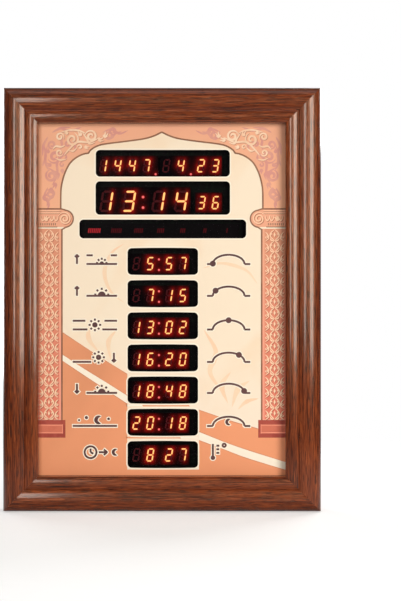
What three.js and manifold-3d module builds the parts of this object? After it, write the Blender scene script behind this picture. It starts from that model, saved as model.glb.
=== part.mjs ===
// Azan clock: a mitred wood-grain frame round a printed face, with LED displays, boards and a speaker behind.
// Lengths are in millimetres, X points right, Z up, and the face looks along -Y.
// Depths are measured forward from the wall, so a depth d lies at y = -d.
import * as THREE from "three";
import { mergeVertices } from "three/addons/utils/BufferGeometryUtils.js";
import Module from "manifold-3d";

const wasm = await Module();
wasm.setup();

// Fits shared by all pieces
const clearance = 0.3;
const overrun = 1;

// Frame moulding, with places measured inward from its outer edge
const frameWidth = 300;
const frameHeight = 400;
const frameDepth = 36;
const railWidth = 33.5;
const sideDepth = 26;
const ridgePlace = 11.8;
const ridgeRadius = 20;
const quirkPlace = 20.6;
const beadPlace = 27;
const beadRadius = 11.6;
const beadDepth = 35.2;
const lipDepth = 22;
const rebatePlace = 28;
const stepPlace = 20.3;

// Corner nails across the mitres
const nailPlace = 16;
const nailLeg = 8;
const nailThickness = 0.8;
const nailLength = 8;

// Sheets behind the lip
const sheetThickness = 1;
const lensThickness = 2;

// Windows in the printed face, with places measured from its middle
const windowShift = 0.6;
const windowCorner = 2.6;
const windowBow = 1;
const dateWindowWidth = 125.5;
const dateWindowHeightShare = 0.06;
const dateWindowPlaceShare = 0.3215;
const timeWindowHeightShare = 0.0765;
const timeWindowPlaceShare = 0.23875;
const weekdayWindowWidth = 155.8;
const weekdayWindowHeightShare = 0.0415;
const weekdayWindowPlaceShare = 0.16725;
const rowWindowWidth = 66;
const rowWindowHeightShare = 0.06125;
const firstRowPlaceShare = 0.09025;
const rowPitchShare = 0.075675;
const rowNames = ["dawn", "sunrise", "noon", "afternoon", "sunset", "night", "temperature"];

// Display modules
const moduleDepth = 8;
const smallModuleHeight = 19;
const largeModuleHeight = 27;
const moduleMargin = 1.8;
const recessDepth = 0.8;
const digitSlant = 0.158;
const smallDigitWidth = 6.6;
const smallDigitHeight = 12.9;
const smallStroke = 1.8;
const largeDigitWidth = 11.2;
const largeDigitHeight = 20.3;
const largeStroke = 2.7;
const segmentGap = 0.25;
const smallPointRadius = 1.1;
const largePointRadius = 1.4;
const datePitch = 13.7;
const dateMiddleGap = 5.5;
const dateDigitsPlaceShare = 0.3175;
const dateLeftPlace = -35.5;
const dateRightPlace = 27.2;
const datePointPlace = 29.2;
const dateEndMargin = 6.8;
const pointDrop = 8;
const timePitch = 21.5;
const timeMiddleGap = 6.3;
const timePlace = -17.6;
const timeDigitsPlaceShare = 0.23325;
const secondsPitch = 13.2;
const secondsPlace = 44.1;
const secondsDigitsPlaceShare = 0.23;
const rowDigitPitch = 13.1;
const rowMiddleGap = 4.7;
const rowDigitsShift = -2.5;
const rowDigitsDrop = 2;
const colonRise = 4;
const colonDrop = 6;

// Weekday strip
const stencilThickness = 0.5;
const stripWidth = 146;
const stripHeight = 13;
const stripPlaceShare = 0.16375;
const stripShift = -1.5;
const dayCount = 7;
const dayPitch = 21;
const tallyWidth = 0.9;
const tallyHeight = 4.4;
const tallyPitch = 1.75;
const lightWall = 1.2;

// Circuit boards
const boardThickness = 1.6;
const boardHeadWidth = 154;
const boardTopShare = 0.36;
const boardShoulderShare = 0.135;
const boardFootWidthShare = 0.24;
const boardBottomShare = -0.42;
const controlWidthShare = 0.22;
const controlHeightShare = 0.17;
const controlPlaceShare = -0.263333;
const controlRiseShare = -0.215;
const controlBack = 12.6;

// Rear cover
const coverRecess = 2;
const coverThickness = 2;
const rimThickness = 2;
const postRadius = 3;
const controlPostRadius = 2.4;
const postInset = 3.2;
const displayPostInset = 8;
const wellWidth = 12;
const wellWall = 1.6;
const wellDepth = 13.7;
const wellTopShare = -0.32;
const cordNotchWidth = 8;
const cordNotchDepth = 7;
const ventCount = 6;
const ventWidthShare = 0.1;
const ventHeight = 3;
const ventPitch = 8;
const ventPlaceShare = 0.32;
const ventRiseShare = 0.25;

// Screws through the cover's flange
const screwPlace = 24.3;
const screwShankRadius = 1.4;
const screwHeadRadius = 2.9;
const screwHeadHeight = 1.3;
const screwCrownShare = 0.8;
const screwLength = 9;
const sideScrewRiseShare = 0.275;

// Keyhole hanger let into the top rail
const hangerPlace = 10;
const hangerWidth = 44;
const hangerHeight = 16;
const hangerRecess = 1.6;
const hangerThickness = 1.2;
const hangerScrewPlace = 16;
const keyholeRadius = 4.5;
const keyholeDrop = 3.5;
const keySlotWidth = 4.4;
const hookRise = 6;
const nailRoomWidth = 12;
const nailRoomDepth = 8;
const nailRoomMargin = 1.2;

// Loudspeaker
const speakerPlaceShare = 0.26;
const speakerRiseShare = -0.2375;
const speakerRadius = 25;
const basketRimWidth = 2;
const basketWall = 1;
const basketNeckRadius = 12.5;
const basketNeckDepth = 13;
const magnetRadius = 15;
const magnetHeight = 4.5;
const poleRadius = 6.5;
const coilWall = 0.5;
const coilGroove = 3;
const conePaper = 0.7;
const coneTravel = 1;
const tagWidth = 6;
const tagReach = 4;
const tagDepth = 8.4;
const collarWall = 1.6;
const collarHeight = 3.4;
const grilleHoleRadius = 1.6;
const grillePitch = 5.6;
const grilleRings = 2;
const leadRadius = 1;
const leadRunDepth = 6.1;

// Push buttons and their switches
const buttonNames = ["mode", "up", "down", "mute"];
const buttonsPlaceShare = -0.346667;
const firstButtonRiseShare = -0.155;
const buttonPitchShare = 0.0275;
const buttonRadius = 2.6;
const buttonProud = 1.2;
const buttonFlangeRadius = 3.8;
const buttonFlangeHeight = 0.8;
const buttonStemRadius = 1.4;
const buttonTravel = 0.6;
const switchSide = 6;
const switchHeight = 3.5;

// Power slide switch
const powerPlaceShare = -0.33;
const powerRiseShare = -0.275;
const powerWidth = 13;
const powerHeight = 5;
const powerDepth = 5;
const knobWidth = 3;
const knobHeight = 2.6;
const knobBaseWidth = 7;
const knobBaseDepth = 1;
const knobProud = 1;
const knobTravel = 3;

// Parts on the boards
const jackWidth = 9;
const jackDepth = 7.8;
const jackLength = 14;
const jackBoreRadius = 2.9;
const jackBoreLength = 9;
const jackPinRadius = 1;
const cellRadius = 10;
const cellHeight = 3.2;
const holderWall = 1.3;
const holderFloor = 1;
const holderPlaceShare = -0.28;
const holderRiseShare = -0.165;
const processorSide = 14;
const processorHeight = 1.8;
const chipsPlaceShare = -0.2;
const processorRiseShare = -0.165;
const crystalWidth = 11;
const crystalDepth = 3.5;
const crystalHeight = 4.4;
const crystalRiseShare = -0.19875;
const amplifierWidth = 10;
const amplifierDepth = 3.3;
const amplifierHeight = 6.4;
const amplifierRiseShare = -0.22;
const receiverWidth = 5.6;
const receiverHeight = 6.8;
const receiverDepth = 4;
const receiverDomeRadius = 2.3;
const receiverPlace = 30.6;
const sensorRadius = 2.3;
const sensorLength = 4.6;
const sensorInset = 5;
const ribbonWidth = 14;
const ribbonThickness = 0.9;
const ribbonRiseShare = -0.265;
const ribbonLanding = 5;

// Places and sizes that follow the frame's width
const boardFootWidth = frameWidth * boardFootWidthShare;
const controlWidth = frameWidth * controlWidthShare;
const controlPlace = frameWidth * controlPlaceShare;
const ventWidth = frameWidth * ventWidthShare;
const ventPlace = frameWidth * ventPlaceShare;
const speakerPlace = frameWidth * speakerPlaceShare;
const buttonsPlace = frameWidth * buttonsPlaceShare;
const powerPlace = frameWidth * powerPlaceShare;
const holderPlace = frameWidth * holderPlaceShare;
const chipsPlace = frameWidth * chipsPlaceShare;

// Places and sizes that follow the frame's height
const dateWindowHeight = frameHeight * dateWindowHeightShare;
const dateWindowPlace = frameHeight * dateWindowPlaceShare;
const timeWindowHeight = frameHeight * timeWindowHeightShare;
const timeWindowPlace = frameHeight * timeWindowPlaceShare;
const weekdayWindowHeight = frameHeight * weekdayWindowHeightShare;
const weekdayWindowPlace = frameHeight * weekdayWindowPlaceShare;
const rowWindowHeight = frameHeight * rowWindowHeightShare;
const firstRowPlace = frameHeight * firstRowPlaceShare;
const rowPitch = frameHeight * rowPitchShare;
const dateDigitsPlace = frameHeight * dateDigitsPlaceShare;
const timeDigitsPlace = frameHeight * timeDigitsPlaceShare;
const secondsDigitsPlace = frameHeight * secondsDigitsPlaceShare;
const stripPlace = frameHeight * stripPlaceShare;
const boardTop = frameHeight * boardTopShare;
const boardShoulder = frameHeight * boardShoulderShare;
const boardBottom = frameHeight * boardBottomShare;
const controlHeight = frameHeight * controlHeightShare;
const controlRise = frameHeight * controlRiseShare;
const wellTop = frameHeight * wellTopShare;
const ventRise = frameHeight * ventRiseShare;
const sideScrewRise = frameHeight * sideScrewRiseShare;
const speakerRise = frameHeight * speakerRiseShare;
const firstButtonRise = frameHeight * firstButtonRiseShare;
const buttonPitch = frameHeight * buttonPitchShare;
const powerRise = frameHeight * powerRiseShare;
const holderRise = frameHeight * holderRiseShare;
const processorRise = frameHeight * processorRiseShare;
const crystalRise = frameHeight * crystalRiseShare;
const amplifierRise = frameHeight * amplifierRiseShare;
const ribbonRise = frameHeight * ribbonRiseShare;

// Depths of the stack, worked out from the front backwards
const sheetFront = lipDepth - clearance;
const sheetBack = sheetFront - sheetThickness;
const lensFront = sheetBack - clearance;
const lensBack = lensFront - lensThickness;
const moduleFront = lensBack - clearance;
const moduleBack = moduleFront - moduleDepth;
const boardFront = moduleBack - clearance;
const boardBack = boardFront - boardThickness;
const coverInside = coverRecess + coverThickness;
const controlFront = controlBack + boardThickness;
const partsFront = controlBack - clearance;
const hookHeight = frameHeight / 2 - hangerPlace + hookRise;

// Outlines shared by the sheets and the cover
const rebateWidth = frameWidth - 2 * rebatePlace;
const rebateHeight = frameHeight - 2 * rebatePlace;
const trayWidth = rebateWidth - 2 * clearance;
const trayHeight = rebateHeight - 2 * clearance;

const faceted = { curveSegments: 4, steps: 1, bevelEnabled: false };

const looks = {
  walnutFoil: look("walnut_foil", 0x6e3620, 0.35, 0),
  printedFace: look("printed_face", 0xfbead2, 0.5, 0),
  smokedAcrylic: look("smoked_acrylic", 0x1a0a10, 0.1, 0, 0.45),
  blackFilm: look("black_film", 0x0c0a0c, 0.6, 0),
  whitePlastic: look("white_plastic", 0xe8e4da, 0.5, 0),
  displayBlack: look("display_black", 0x1c0a0a, 0.4, 0),
  boardGreen: look("board_green", 0x1f5a35, 0.4, 0),
  blackPlastic: look("black_plastic", 0x1b1b1d, 0.55, 0),
  steel: look("steel", 0xb9bcc0, 0.3, 1),
  ferrite: look("ferrite", 0x3b3b40, 0.6, 0.4),
  paperCone: look("paper_cone", 0x2a2826, 0.9, 0),
  chipBlack: look("chip_black", 0x232326, 0.5, 0),
  greyRibbon: look("grey_ribbon", 0x9a9ca2, 0.6, 0),
  buttonGrey: look("button_grey", 0x5b5d63, 0.5, 0),
};

function look(name, color, roughness, metalness, opacity = 1) {
  const transparent = opacity < 1;
  const settings = { color, roughness, metalness, opacity, transparent, flatShading: true };
  const material = new THREE.MeshStandardMaterial(settings);
  material.name = name;
  return material;
}

// A closed mesh with shared vertices, no collapsed triangles and its faces pointing out
function closed(geometry) {
  const source = geometry.clone();
  source.deleteAttribute("normal");
  source.deleteAttribute("uv");
  const merged = mergeVertices(source);
  const place = merged.getAttribute("position");
  const kept = [];
  let volume = 0;
  const a = new THREE.Vector3();
  const b = new THREE.Vector3();
  const c = new THREE.Vector3();
  const order = merged.getIndex().array;
  for (let i = 0; i < order.length; i += 3) {
    const [p, q, r] = [order[i], order[i + 1], order[i + 2]];
    if (p === q || q === r || r === p) continue;
    kept.push(p, q, r);
    a.fromBufferAttribute(place, p);
    b.fromBufferAttribute(place, q);
    c.fromBufferAttribute(place, r);
    volume += a.dot(b.cross(c));
  }
  if (volume < 0) kept.reverse();
  merged.setIndex(kept);
  return merged;
}

function toSolid(geometry) {
  const mesh = closed(geometry);
  const vertProperties = new Float32Array(mesh.getAttribute("position").array);
  const triVerts = new Uint32Array(mesh.getIndex().array);
  return new wasm.Manifold(new wasm.Mesh({ numProp: 3, vertProperties, triVerts }));
}

function toGeometry(solid) {
  const mesh = solid.getMesh();
  const geometry = new THREE.BufferGeometry();
  geometry.setAttribute("position", new THREE.BufferAttribute(new Float32Array(mesh.vertProperties), 3));
  geometry.setIndex(new THREE.BufferAttribute(new Uint32Array(mesh.triVerts), 1));
  return geometry;
}

function join(...geometries) {
  return toGeometry(geometries.map(toSolid).reduce((whole, extra) => whole.add(extra)));
}

function cut(geometry, ...tools) {
  return toGeometry(tools.map(toSolid).reduce((rest, tool) => rest.subtract(tool), toSolid(geometry)));
}

// Flat outlines, drawn in x and z
function rectangle(width, height, x = 0, z = 0) {
  const shape = new THREE.Shape();
  shape.moveTo(x - width / 2, z - height / 2);
  shape.lineTo(x + width / 2, z - height / 2);
  shape.lineTo(x + width / 2, z + height / 2);
  shape.lineTo(x - width / 2, z + height / 2);
  shape.closePath();
  return shape;
}

function disc(radius, x = 0, z = 0) {
  const shape = new THREE.Shape();
  shape.absarc(x, z, radius, 0, 2 * Math.PI, false);
  return shape;
}

function outline(points) {
  return new THREE.Shape(points.map(([x, z]) => new THREE.Vector2(x, z)));
}

// An outline given thickness between two depths
function slab(shapes, back, front, detail = faceted) {
  const geometry = new THREE.ExtrudeGeometry(shapes, { ...detail, depth: front - back });
  return geometry.rotateX(Math.PI / 2).translate(0, -back, 0);
}

function peg(radius, back, front, x = 0, z = 0, sides = 12) {
  const geometry = new THREE.CylinderGeometry(radius, radius, front - back, sides);
  return geometry.translate(x, -(back + front) / 2, z);
}

// A round piece turned about the depth axis from [radius, depth] points
function turned(profile, sides = 24) {
  return new THREE.LatheGeometry(profile.map(([radius, depth]) => new THREE.Vector2(radius, -depth)), sides);
}

const clock = new THREE.Group();
clock.name = "azan_clock";
const body = new THREE.Group();
body.position.z = -hookHeight;
clock.add(body);

function place(name, geometry, material, x = 0, z = 0, turn = 0) {
  const mesh = new THREE.Mesh(closed(geometry), material);
  mesh.name = name;
  mesh.position.set(x, 0, z);
  mesh.rotation.y = turn;
  body.add(mesh);
  return mesh;
}

// Points on a circular arc of the moulding, from one place to another
function arcPoints(centre, crest, radiusAcross, radiusDeep, from, to, count) {
  const start = Math.asin((from - centre) / radiusAcross);
  const end = Math.asin((to - centre) / radiusAcross);
  return Array.from({ length: count + 1 }, (_, i) => {
    const angle = start + ((end - start) * i) / count;
    return [centre + radiusAcross * Math.sin(angle), crest - radiusDeep * (1 - Math.cos(angle))];
  });
}

// The moulding's section: outer side, ridge, quirk, bead, lip, rebate and the step for the cover
function mouldingSection() {
  const ridgeSegments = 6;
  const beadSegments = 8;
  const coverStep = coverInside + clearance;
  const crest = [ridgePlace, frameDepth];
  const outerRise = frameDepth - sideDepth;
  return outline([
    [0, 0],
    ...arcPoints(...crest, ridgePlace, outerRise, 0, ridgePlace, ridgeSegments),
    ...arcPoints(...crest, ridgeRadius, ridgeRadius, ridgePlace, quirkPlace, ridgeSegments).slice(1),
    ...arcPoints(beadPlace, beadDepth, beadRadius, beadRadius, quirkPlace, railWidth, beadSegments),
    [railWidth, lipDepth],
    [rebatePlace, lipDepth],
    [rebatePlace, coverStep],
    [stepPlace, coverStep],
    [stepPlace, 0],
  ]);
}

// A rail lying along x at the frame's bottom edge, with both ends cut on the mitre
function mitredRail(length, outerHalf) {
  const geometry = new THREE.ExtrudeGeometry(mouldingSection(), { ...faceted, depth: length });
  const points = geometry.getAttribute("position");
  const mitreShift = clearance / Math.SQRT2;
  for (let i = 0; i < points.count; i += 1) {
    const inward = points.getX(i);
    const reach = length / 2 - inward - mitreShift;
    const along = points.getZ(i) < length / 2 ? -reach : reach;
    points.setXYZ(i, along, -points.getY(i), inward - outerHalf);
  }
  return geometry;
}

// An angle of two legs that point outwards from a frame corner's inner place
function nailOutline(x, z, side, spare) {
  const half = nailThickness / 2 + spare;
  const leg = nailLeg + spare;
  return outline([
    [x + side * half, z + half],
    [x - side * leg, z + half],
    [x - side * leg, z - half],
    [x - side * half, z - half],
    [x - side * half, z - leg],
    [x + side * half, z - leg],
  ]);
}

function makeRail(name, length, outerHalf, turn, screwPlaces, extraCuts) {
  const slots = [1, -1].map((side) => {
    const x = side * (nailPlace - length / 2);
    return slab(nailOutline(x, nailPlace - outerHalf, side, clearance), -overrun, nailLength + clearance);
  });
  const pilots = screwPlaces.map((x) => {
    const depth = coverRecess + screwLength + clearance;
    return peg(screwShankRadius + clearance, coverRecess, depth, x, screwPlace - outerHalf, 8);
  });
  const rail = cut(mitredRail(length, outerHalf), ...slots, ...pilots, ...extraCuts);
  place(name, rail, looks.walnutFoil, 0, 0, turn);
}

// Pocket for the hanger plate, the room behind its keyhole and its screw holes, in the top rail
function hangerPocket(outerHalf) {
  const z = hangerPlace - outerHalf;
  const pocketDepth = hangerRecess + hangerThickness + clearance;
  const pocket = rectangle(hangerWidth + 2 * clearance, hangerHeight + 2 * clearance, 0, z);
  const room = rectangle(nailRoomWidth, hangerHeight - 2 * nailRoomMargin, 0, z);
  const screwDepth = hangerRecess + screwLength + clearance;
  const holes = [-1, 1].map((side) => {
    return peg(screwShankRadius + clearance, 0, screwDepth, side * hangerScrewPlace, z, 8);
  });
  return [slab(pocket, -overrun, pocketDepth), slab(room, 0, nailRoomDepth), ...holes];
}

function cordNotch(outerHalf) {
  const height = rebatePlace + 2 * overrun;
  const shape = rectangle(cordNotchWidth, height, controlPlace, height / 2 - overrun - outerHalf);
  return slab(shape, -overrun, cordNotchDepth);
}

function makeFrame() {
  const halfWidth = frameWidth / 2;
  const halfHeight = frameHeight / 2;
  const sideScrews = [-sideScrewRise, sideScrewRise];
  makeRail("frame_bottom", frameWidth, halfHeight, 0, [0], [cordNotch(halfHeight)]);
  makeRail("frame_top", frameWidth, halfHeight, Math.PI, [0], hangerPocket(halfHeight));
  makeRail("frame_left", frameHeight, halfWidth, Math.PI / 2, sideScrews, []);
  makeRail("frame_right", frameHeight, halfWidth, -Math.PI / 2, sideScrews, []);
}

function makeCornerNails() {
  const corners = [
    ["corner_nail_bottom_left", -1, -1, 0],
    ["corner_nail_top_left", -1, 1, Math.PI / 2],
    ["corner_nail_top_right", 1, 1, Math.PI],
    ["corner_nail_bottom_right", 1, -1, -Math.PI / 2],
  ];
  const nail = slab(nailOutline(0, 0, 1, 0), clearance, nailLength);
  for (const [name, sideways, upwards, turn] of corners) {
    const x = sideways * (frameWidth / 2 - nailPlace);
    const z = upwards * (frameHeight / 2 - nailPlace);
    place(name, nail, looks.steel, x, z, turn);
  }
}

// A window with round corners and long edges that bow outwards a little
function windowPath(width, height, z, bow) {
  const path = new THREE.Path();
  const halfWidth = width / 2;
  const halfHeight = height / 2;
  const inner = halfWidth - windowCorner;
  const innerHeight = halfHeight - windowCorner;
  path.moveTo(windowShift - inner, z - halfHeight);
  path.quadraticCurveTo(windowShift, z - halfHeight - 2 * bow, windowShift + inner, z - halfHeight);
  path.absarc(windowShift + inner, z - innerHeight, windowCorner, -Math.PI / 2, 0, false);
  path.absarc(windowShift + inner, z + innerHeight, windowCorner, 0, Math.PI / 2, false);
  path.quadraticCurveTo(windowShift, z + halfHeight + 2 * bow, windowShift - inner, z + halfHeight);
  path.absarc(windowShift - inner, z + innerHeight, windowCorner, Math.PI / 2, Math.PI, false);
  path.absarc(windowShift - inner, z - innerHeight, windowCorner, Math.PI, 1.5 * Math.PI, false);
  return path;
}

function makeFaceSheet() {
  const sheet = rectangle(trayWidth, trayHeight);
  sheet.holes.push(windowPath(dateWindowWidth, dateWindowHeight, dateWindowPlace, 0));
  sheet.holes.push(windowPath(dateWindowWidth, timeWindowHeight, timeWindowPlace, 0));
  sheet.holes.push(windowPath(weekdayWindowWidth, weekdayWindowHeight, weekdayWindowPlace, 0));
  for (let row = 0; row < rowNames.length; row += 1) {
    const z = firstRowPlace - row * rowPitch;
    sheet.holes.push(windowPath(rowWindowWidth, rowWindowHeight - 2 * windowBow, z, windowBow));
  }
  const detail = { ...faceted, curveSegments: 2 };
  place("face_sheet", slab(sheet, sheetBack, sheetFront, detail), looks.printedFace);
}

function makeLens() {
  place("smoked_lens", slab(rectangle(trayWidth, trayHeight), lensBack, lensFront), looks.smokedAcrylic);
}

// The seven slanted bars of one digit
function digitShapes(x, width, height, stroke) {
  const across = (width - stroke) / 2 - segmentGap;
  const sideways = (width - stroke) / 2;
  const rise = (height - stroke) / 2;
  const half = stroke / 2;
  const lean = (px, pz) => [x + px + digitSlant * pz, pz];
  const flat = (z) => outline([
    lean(-across, z),
    lean(half - across, z - half),
    lean(across - half, z - half),
    lean(across, z),
    lean(across - half, z + half),
    lean(half - across, z + half),
  ]);
  const upright = (px, side) => {
    const low = segmentGap;
    const high = rise - segmentGap;
    return outline([
      lean(px, side * low),
      lean(px + side * half, side * (low + half)),
      lean(px + side * half, side * (high - half)),
      lean(px, side * high),
      lean(px - side * half, side * (high - half)),
      lean(px - side * half, side * (low + half)),
    ]);
  };
  const uprights = [[-sideways, 1], [sideways, 1], [-sideways, -1], [sideways, -1]];
  return [flat(rise), flat(0), flat(-rise), ...uprights.map(([px, side]) => upright(px, side))];
}

function digitPlaces(count, pitch, middleGap) {
  return Array.from({ length: count }, (_, i) => {
    const fromMiddle = i - (count - 1) / 2;
    return fromMiddle * pitch + Math.sign(fromMiddle) * (middleGap / 2);
  });
}

// A display housing with a shallow recess for each bar and point
function displayModule(count, pitch, middleGap, digit, height, margin, points) {
  const places = digitPlaces(count, pitch, middleGap);
  const lean = digit.height * digitSlant;
  const width = 2 * places[count - 1] + digit.width + lean + 2 * margin;
  const bars = places.flatMap((x) => digitShapes(x, digit.width, digit.height, digit.stroke));
  const dots = points.map(([x, z]) => disc(digit.point, x, z));
  const recesses = slab([...bars, ...dots], moduleFront - recessDepth, moduleFront + overrun);
  return cut(slab(rectangle(width, height), moduleBack, moduleFront), recesses);
}

function makeDisplays() {
  const small = {
    width: smallDigitWidth, height: smallDigitHeight, stroke: smallStroke, point: smallPointRadius,
  };
  const large = {
    width: largeDigitWidth, height: largeDigitHeight, stroke: largeStroke, point: largePointRadius,
  };
  const colon = [[-colonRise * digitSlant, colonRise], [-colonRise * digitSlant, -colonDrop]];
  const dateLeft = displayModule(
    4, datePitch, 0, small, smallModuleHeight, dateEndMargin, [[datePointPlace, -pointDrop]],
  );
  const dateRight = displayModule(
    4, datePitch, dateMiddleGap, small, smallModuleHeight, moduleMargin, [[0, -pointDrop]],
  );
  const time = displayModule(4, timePitch, timeMiddleGap, large, largeModuleHeight, moduleMargin, colon);
  const seconds = displayModule(2, secondsPitch, 0, small, smallModuleHeight, moduleMargin, []);
  place("date_display_left", dateLeft, looks.displayBlack, dateLeftPlace, dateDigitsPlace);
  place("date_display_right", dateRight, looks.displayBlack, dateRightPlace, dateDigitsPlace);
  place("time_display", time, looks.displayBlack, timePlace, timeDigitsPlace);
  place("seconds_display", seconds, looks.displayBlack, secondsPlace, secondsDigitsPlace);
  rowNames.forEach((name, row) => {
    const points = row < rowNames.length - 1 ? colon : [];
    const geometry = displayModule(
      4, rowDigitPitch, rowMiddleGap, small, smallModuleHeight, moduleMargin, points,
    );
    const z = firstRowPlace - row * rowPitch - rowDigitsDrop;
    place(`${name}_display`, geometry, looks.displayBlack, rowDigitsShift, z);
  });
}

// Each day of the week has its own count of slanted tally bars, counted from the right
function tallyShapes() {
  const shapes = [];
  for (let day = 1; day <= dayCount; day += 1) {
    const middle = ((dayCount + 1) / 2 - day) * dayPitch;
    for (let bar = 0; bar < day; bar += 1) {
      const x = middle + (bar - (day - 1) / 2) * tallyPitch;
      const lean = (digitSlant * tallyHeight) / 2;
      shapes.push(outline([
        [x - lean - tallyWidth / 2, -tallyHeight / 2],
        [x - lean + tallyWidth / 2, -tallyHeight / 2],
        [x + lean + tallyWidth / 2, tallyHeight / 2],
        [x + lean - tallyWidth / 2, tallyHeight / 2],
      ]));
    }
  }
  return shapes;
}

function makeWeekdayStrip() {
  const stencilBack = moduleFront - stencilThickness;
  const film = slab(rectangle(stripWidth, stripHeight), stencilBack, moduleFront);
  const marks = slab(tallyShapes(), stencilBack - overrun, moduleFront + overrun);
  place("weekday_stencil", cut(film, marks), looks.blackFilm, stripShift, stripPlace);
  const boxFront = stencilBack - clearance;
  const cellWidth = dayPitch - lightWall;
  const cells = Array.from({ length: dayCount }, (_, day) => {
    const x = (day - (dayCount - 1) / 2) * dayPitch;
    return rectangle(cellWidth, stripHeight - 2 * lightWall, x, 0);
  });
  const box = slab(rectangle(dayCount * dayPitch + lightWall, stripHeight), moduleBack, boxFront);
  const hollow = slab(cells, moduleBack + lightWall, boxFront + overrun);
  place("weekday_lightbox", cut(box, hollow), looks.whitePlastic, stripShift, stripPlace);
}

function makeDisplayBoard() {
  const head = boardHeadWidth / 2;
  const foot = boardFootWidth / 2;
  const shape = outline([
    [-foot, boardBottom],
    [foot, boardBottom],
    [foot, boardShoulder],
    [head, boardShoulder],
    [head, boardTop],
    [-head, boardTop],
    [-head, boardShoulder],
    [-foot, boardShoulder],
  ]);
  place("display_board", slab(shape, boardBack, boardFront), looks.boardGreen);
}

function makeControlBoard() {
  const shape = rectangle(controlWidth, controlHeight);
  place("control_board", slab(shape, controlBack, controlFront), looks.boardGreen, controlPlace, controlRise);
}

// A flat strip in an S between the two boards' backs, drawn in x and depth and given its width along z
function makeRibbonCable() {
  const boardEdge = -boardFootWidth / 2;
  const controlEdge = controlPlace + controlWidth / 2;
  const near = boardBack - clearance;
  const far = partsFront;
  const bend = (boardEdge - controlEdge) / 4;
  const line = [
    [boardEdge + ribbonLanding, near],
    [boardEdge - bend, near],
    [controlEdge + bend, far],
    [controlEdge - ribbonLanding, far],
  ];
  const shape = outline([...line, ...line.map(([x, depth]) => [x, depth - ribbonThickness]).reverse()]);
  const geometry = new THREE.ExtrudeGeometry(shape, { ...faceted, depth: ribbonWidth });
  geometry.rotateX(Math.PI).translate(0, 0, ribbonWidth / 2);
  place("ribbon_cable", geometry, looks.greyRibbon, 0, ribbonRise);
}

function makeChips() {
  const back = partsFront - processorHeight;
  const processor = slab(rectangle(processorSide, processorSide), back, partsFront);
  place("processor_chip", processor, looks.chipBlack, chipsPlace, processorRise);
  const amplifier = slab(rectangle(amplifierWidth, amplifierHeight), partsFront - amplifierDepth, partsFront);
  place("amplifier_chip", amplifier, looks.chipBlack, chipsPlace, amplifierRise);
  const can = new THREE.Shape();
  const straight = (crystalWidth - crystalHeight) / 2;
  can.absarc(straight, 0, crystalHeight / 2, -Math.PI / 2, Math.PI / 2, false);
  can.absarc(-straight, 0, crystalHeight / 2, Math.PI / 2, 1.5 * Math.PI, false);
  const crystal = slab(can, partsFront - crystalDepth, partsFront);
  place("clock_crystal", crystal, looks.steel, chipsPlace, crystalRise);
}

function makeBackupCell() {
  const sides = 20;
  const pocketRadius = cellRadius + clearance;
  const back = partsFront - holderFloor - clearance - cellHeight;
  const holder = cut(
    peg(pocketRadius + holderWall, back, partsFront, 0, 0, sides),
    peg(pocketRadius, back - overrun, partsFront - holderFloor, 0, 0, sides),
  );
  place("cell_holder", holder, looks.blackPlastic, holderPlace, holderRise);
  const cell = peg(cellRadius, back, back + cellHeight, 0, 0, sides);
  place("backup_cell", cell, looks.steel, holderPlace, holderRise);
}

// A barrel along z, used for the jack's bore and pin
function barrel(radius, bottom, top, depth, sides = 12) {
  const geometry = new THREE.CylinderGeometry(radius, radius, top - bottom, sides).rotateX(Math.PI / 2);
  return geometry.translate(0, -depth, (bottom + top) / 2);
}

function makeJack() {
  const mouth = wellTop + wellWall + clearance;
  const back = partsFront - jackDepth;
  const middle = (back + partsFront) / 2;
  const box = slab(rectangle(jackWidth, jackLength, 0, mouth + jackLength / 2), back, partsFront);
  const bore = barrel(jackBoreRadius, mouth - overrun, mouth + jackBoreLength, middle);
  const pin = barrel(jackPinRadius, mouth + clearance, mouth + jackBoreLength + overrun, middle, 8);
  place("dc_jack", join(cut(box, bore), pin), looks.blackPlastic, controlPlace);
}

function makeReceiver() {
  const front = moduleBack + receiverDepth;
  const block = slab(rectangle(receiverWidth, receiverHeight), moduleBack, front);
  const dome = new THREE.SphereGeometry(receiverDomeRadius, 10, 8).translate(0, -front, 0);
  const z = firstRowPlace - (rowNames.length - 1) * rowPitch;
  place("ir_receiver", join(block, dome), looks.chipBlack, receiverPlace, z);
}

// A small half-round sensor lying on the display board's back
function makeTemperatureSensor() {
  const shape = new THREE.Shape();
  shape.absarc(0, 0, sensorRadius, 0, Math.PI, false);
  const geometry = new THREE.ExtrudeGeometry(shape, { ...faceted, depth: sensorLength });
  geometry.translate(0, -(boardBack - clearance), 0);
  place("temperature_sensor", geometry, looks.chipBlack, 0, boardBottom + sensorInset);
}

function buttonRise(index) {
  return firstButtonRise - index * buttonPitch;
}

function makeButtons() {
  const tip = coverRecess - buttonProud;
  const flangeBack = coverInside + clearance;
  const flangeFront = flangeBack + buttonFlangeHeight;
  const switchBack = partsFront - switchHeight;
  const stemEnd = switchBack - clearance - buttonTravel;
  const sides = 16;
  buttonNames.forEach((name, index) => {
    const button = turned([
      [0, tip],
      [buttonRadius, tip],
      [buttonRadius, flangeBack],
      [buttonFlangeRadius, flangeBack],
      [buttonFlangeRadius, flangeFront],
      [buttonStemRadius, flangeFront],
      [buttonStemRadius, stemEnd],
      [0, stemEnd],
    ], sides);
    place(`${name}_button`, button, looks.buttonGrey, buttonsPlace, buttonRise(index));
    const housing = slab(rectangle(switchSide, switchSide), switchBack, partsFront);
    place(`${name}_switch`, housing, looks.blackPlastic, buttonsPlace, buttonRise(index));
  });
}

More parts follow.
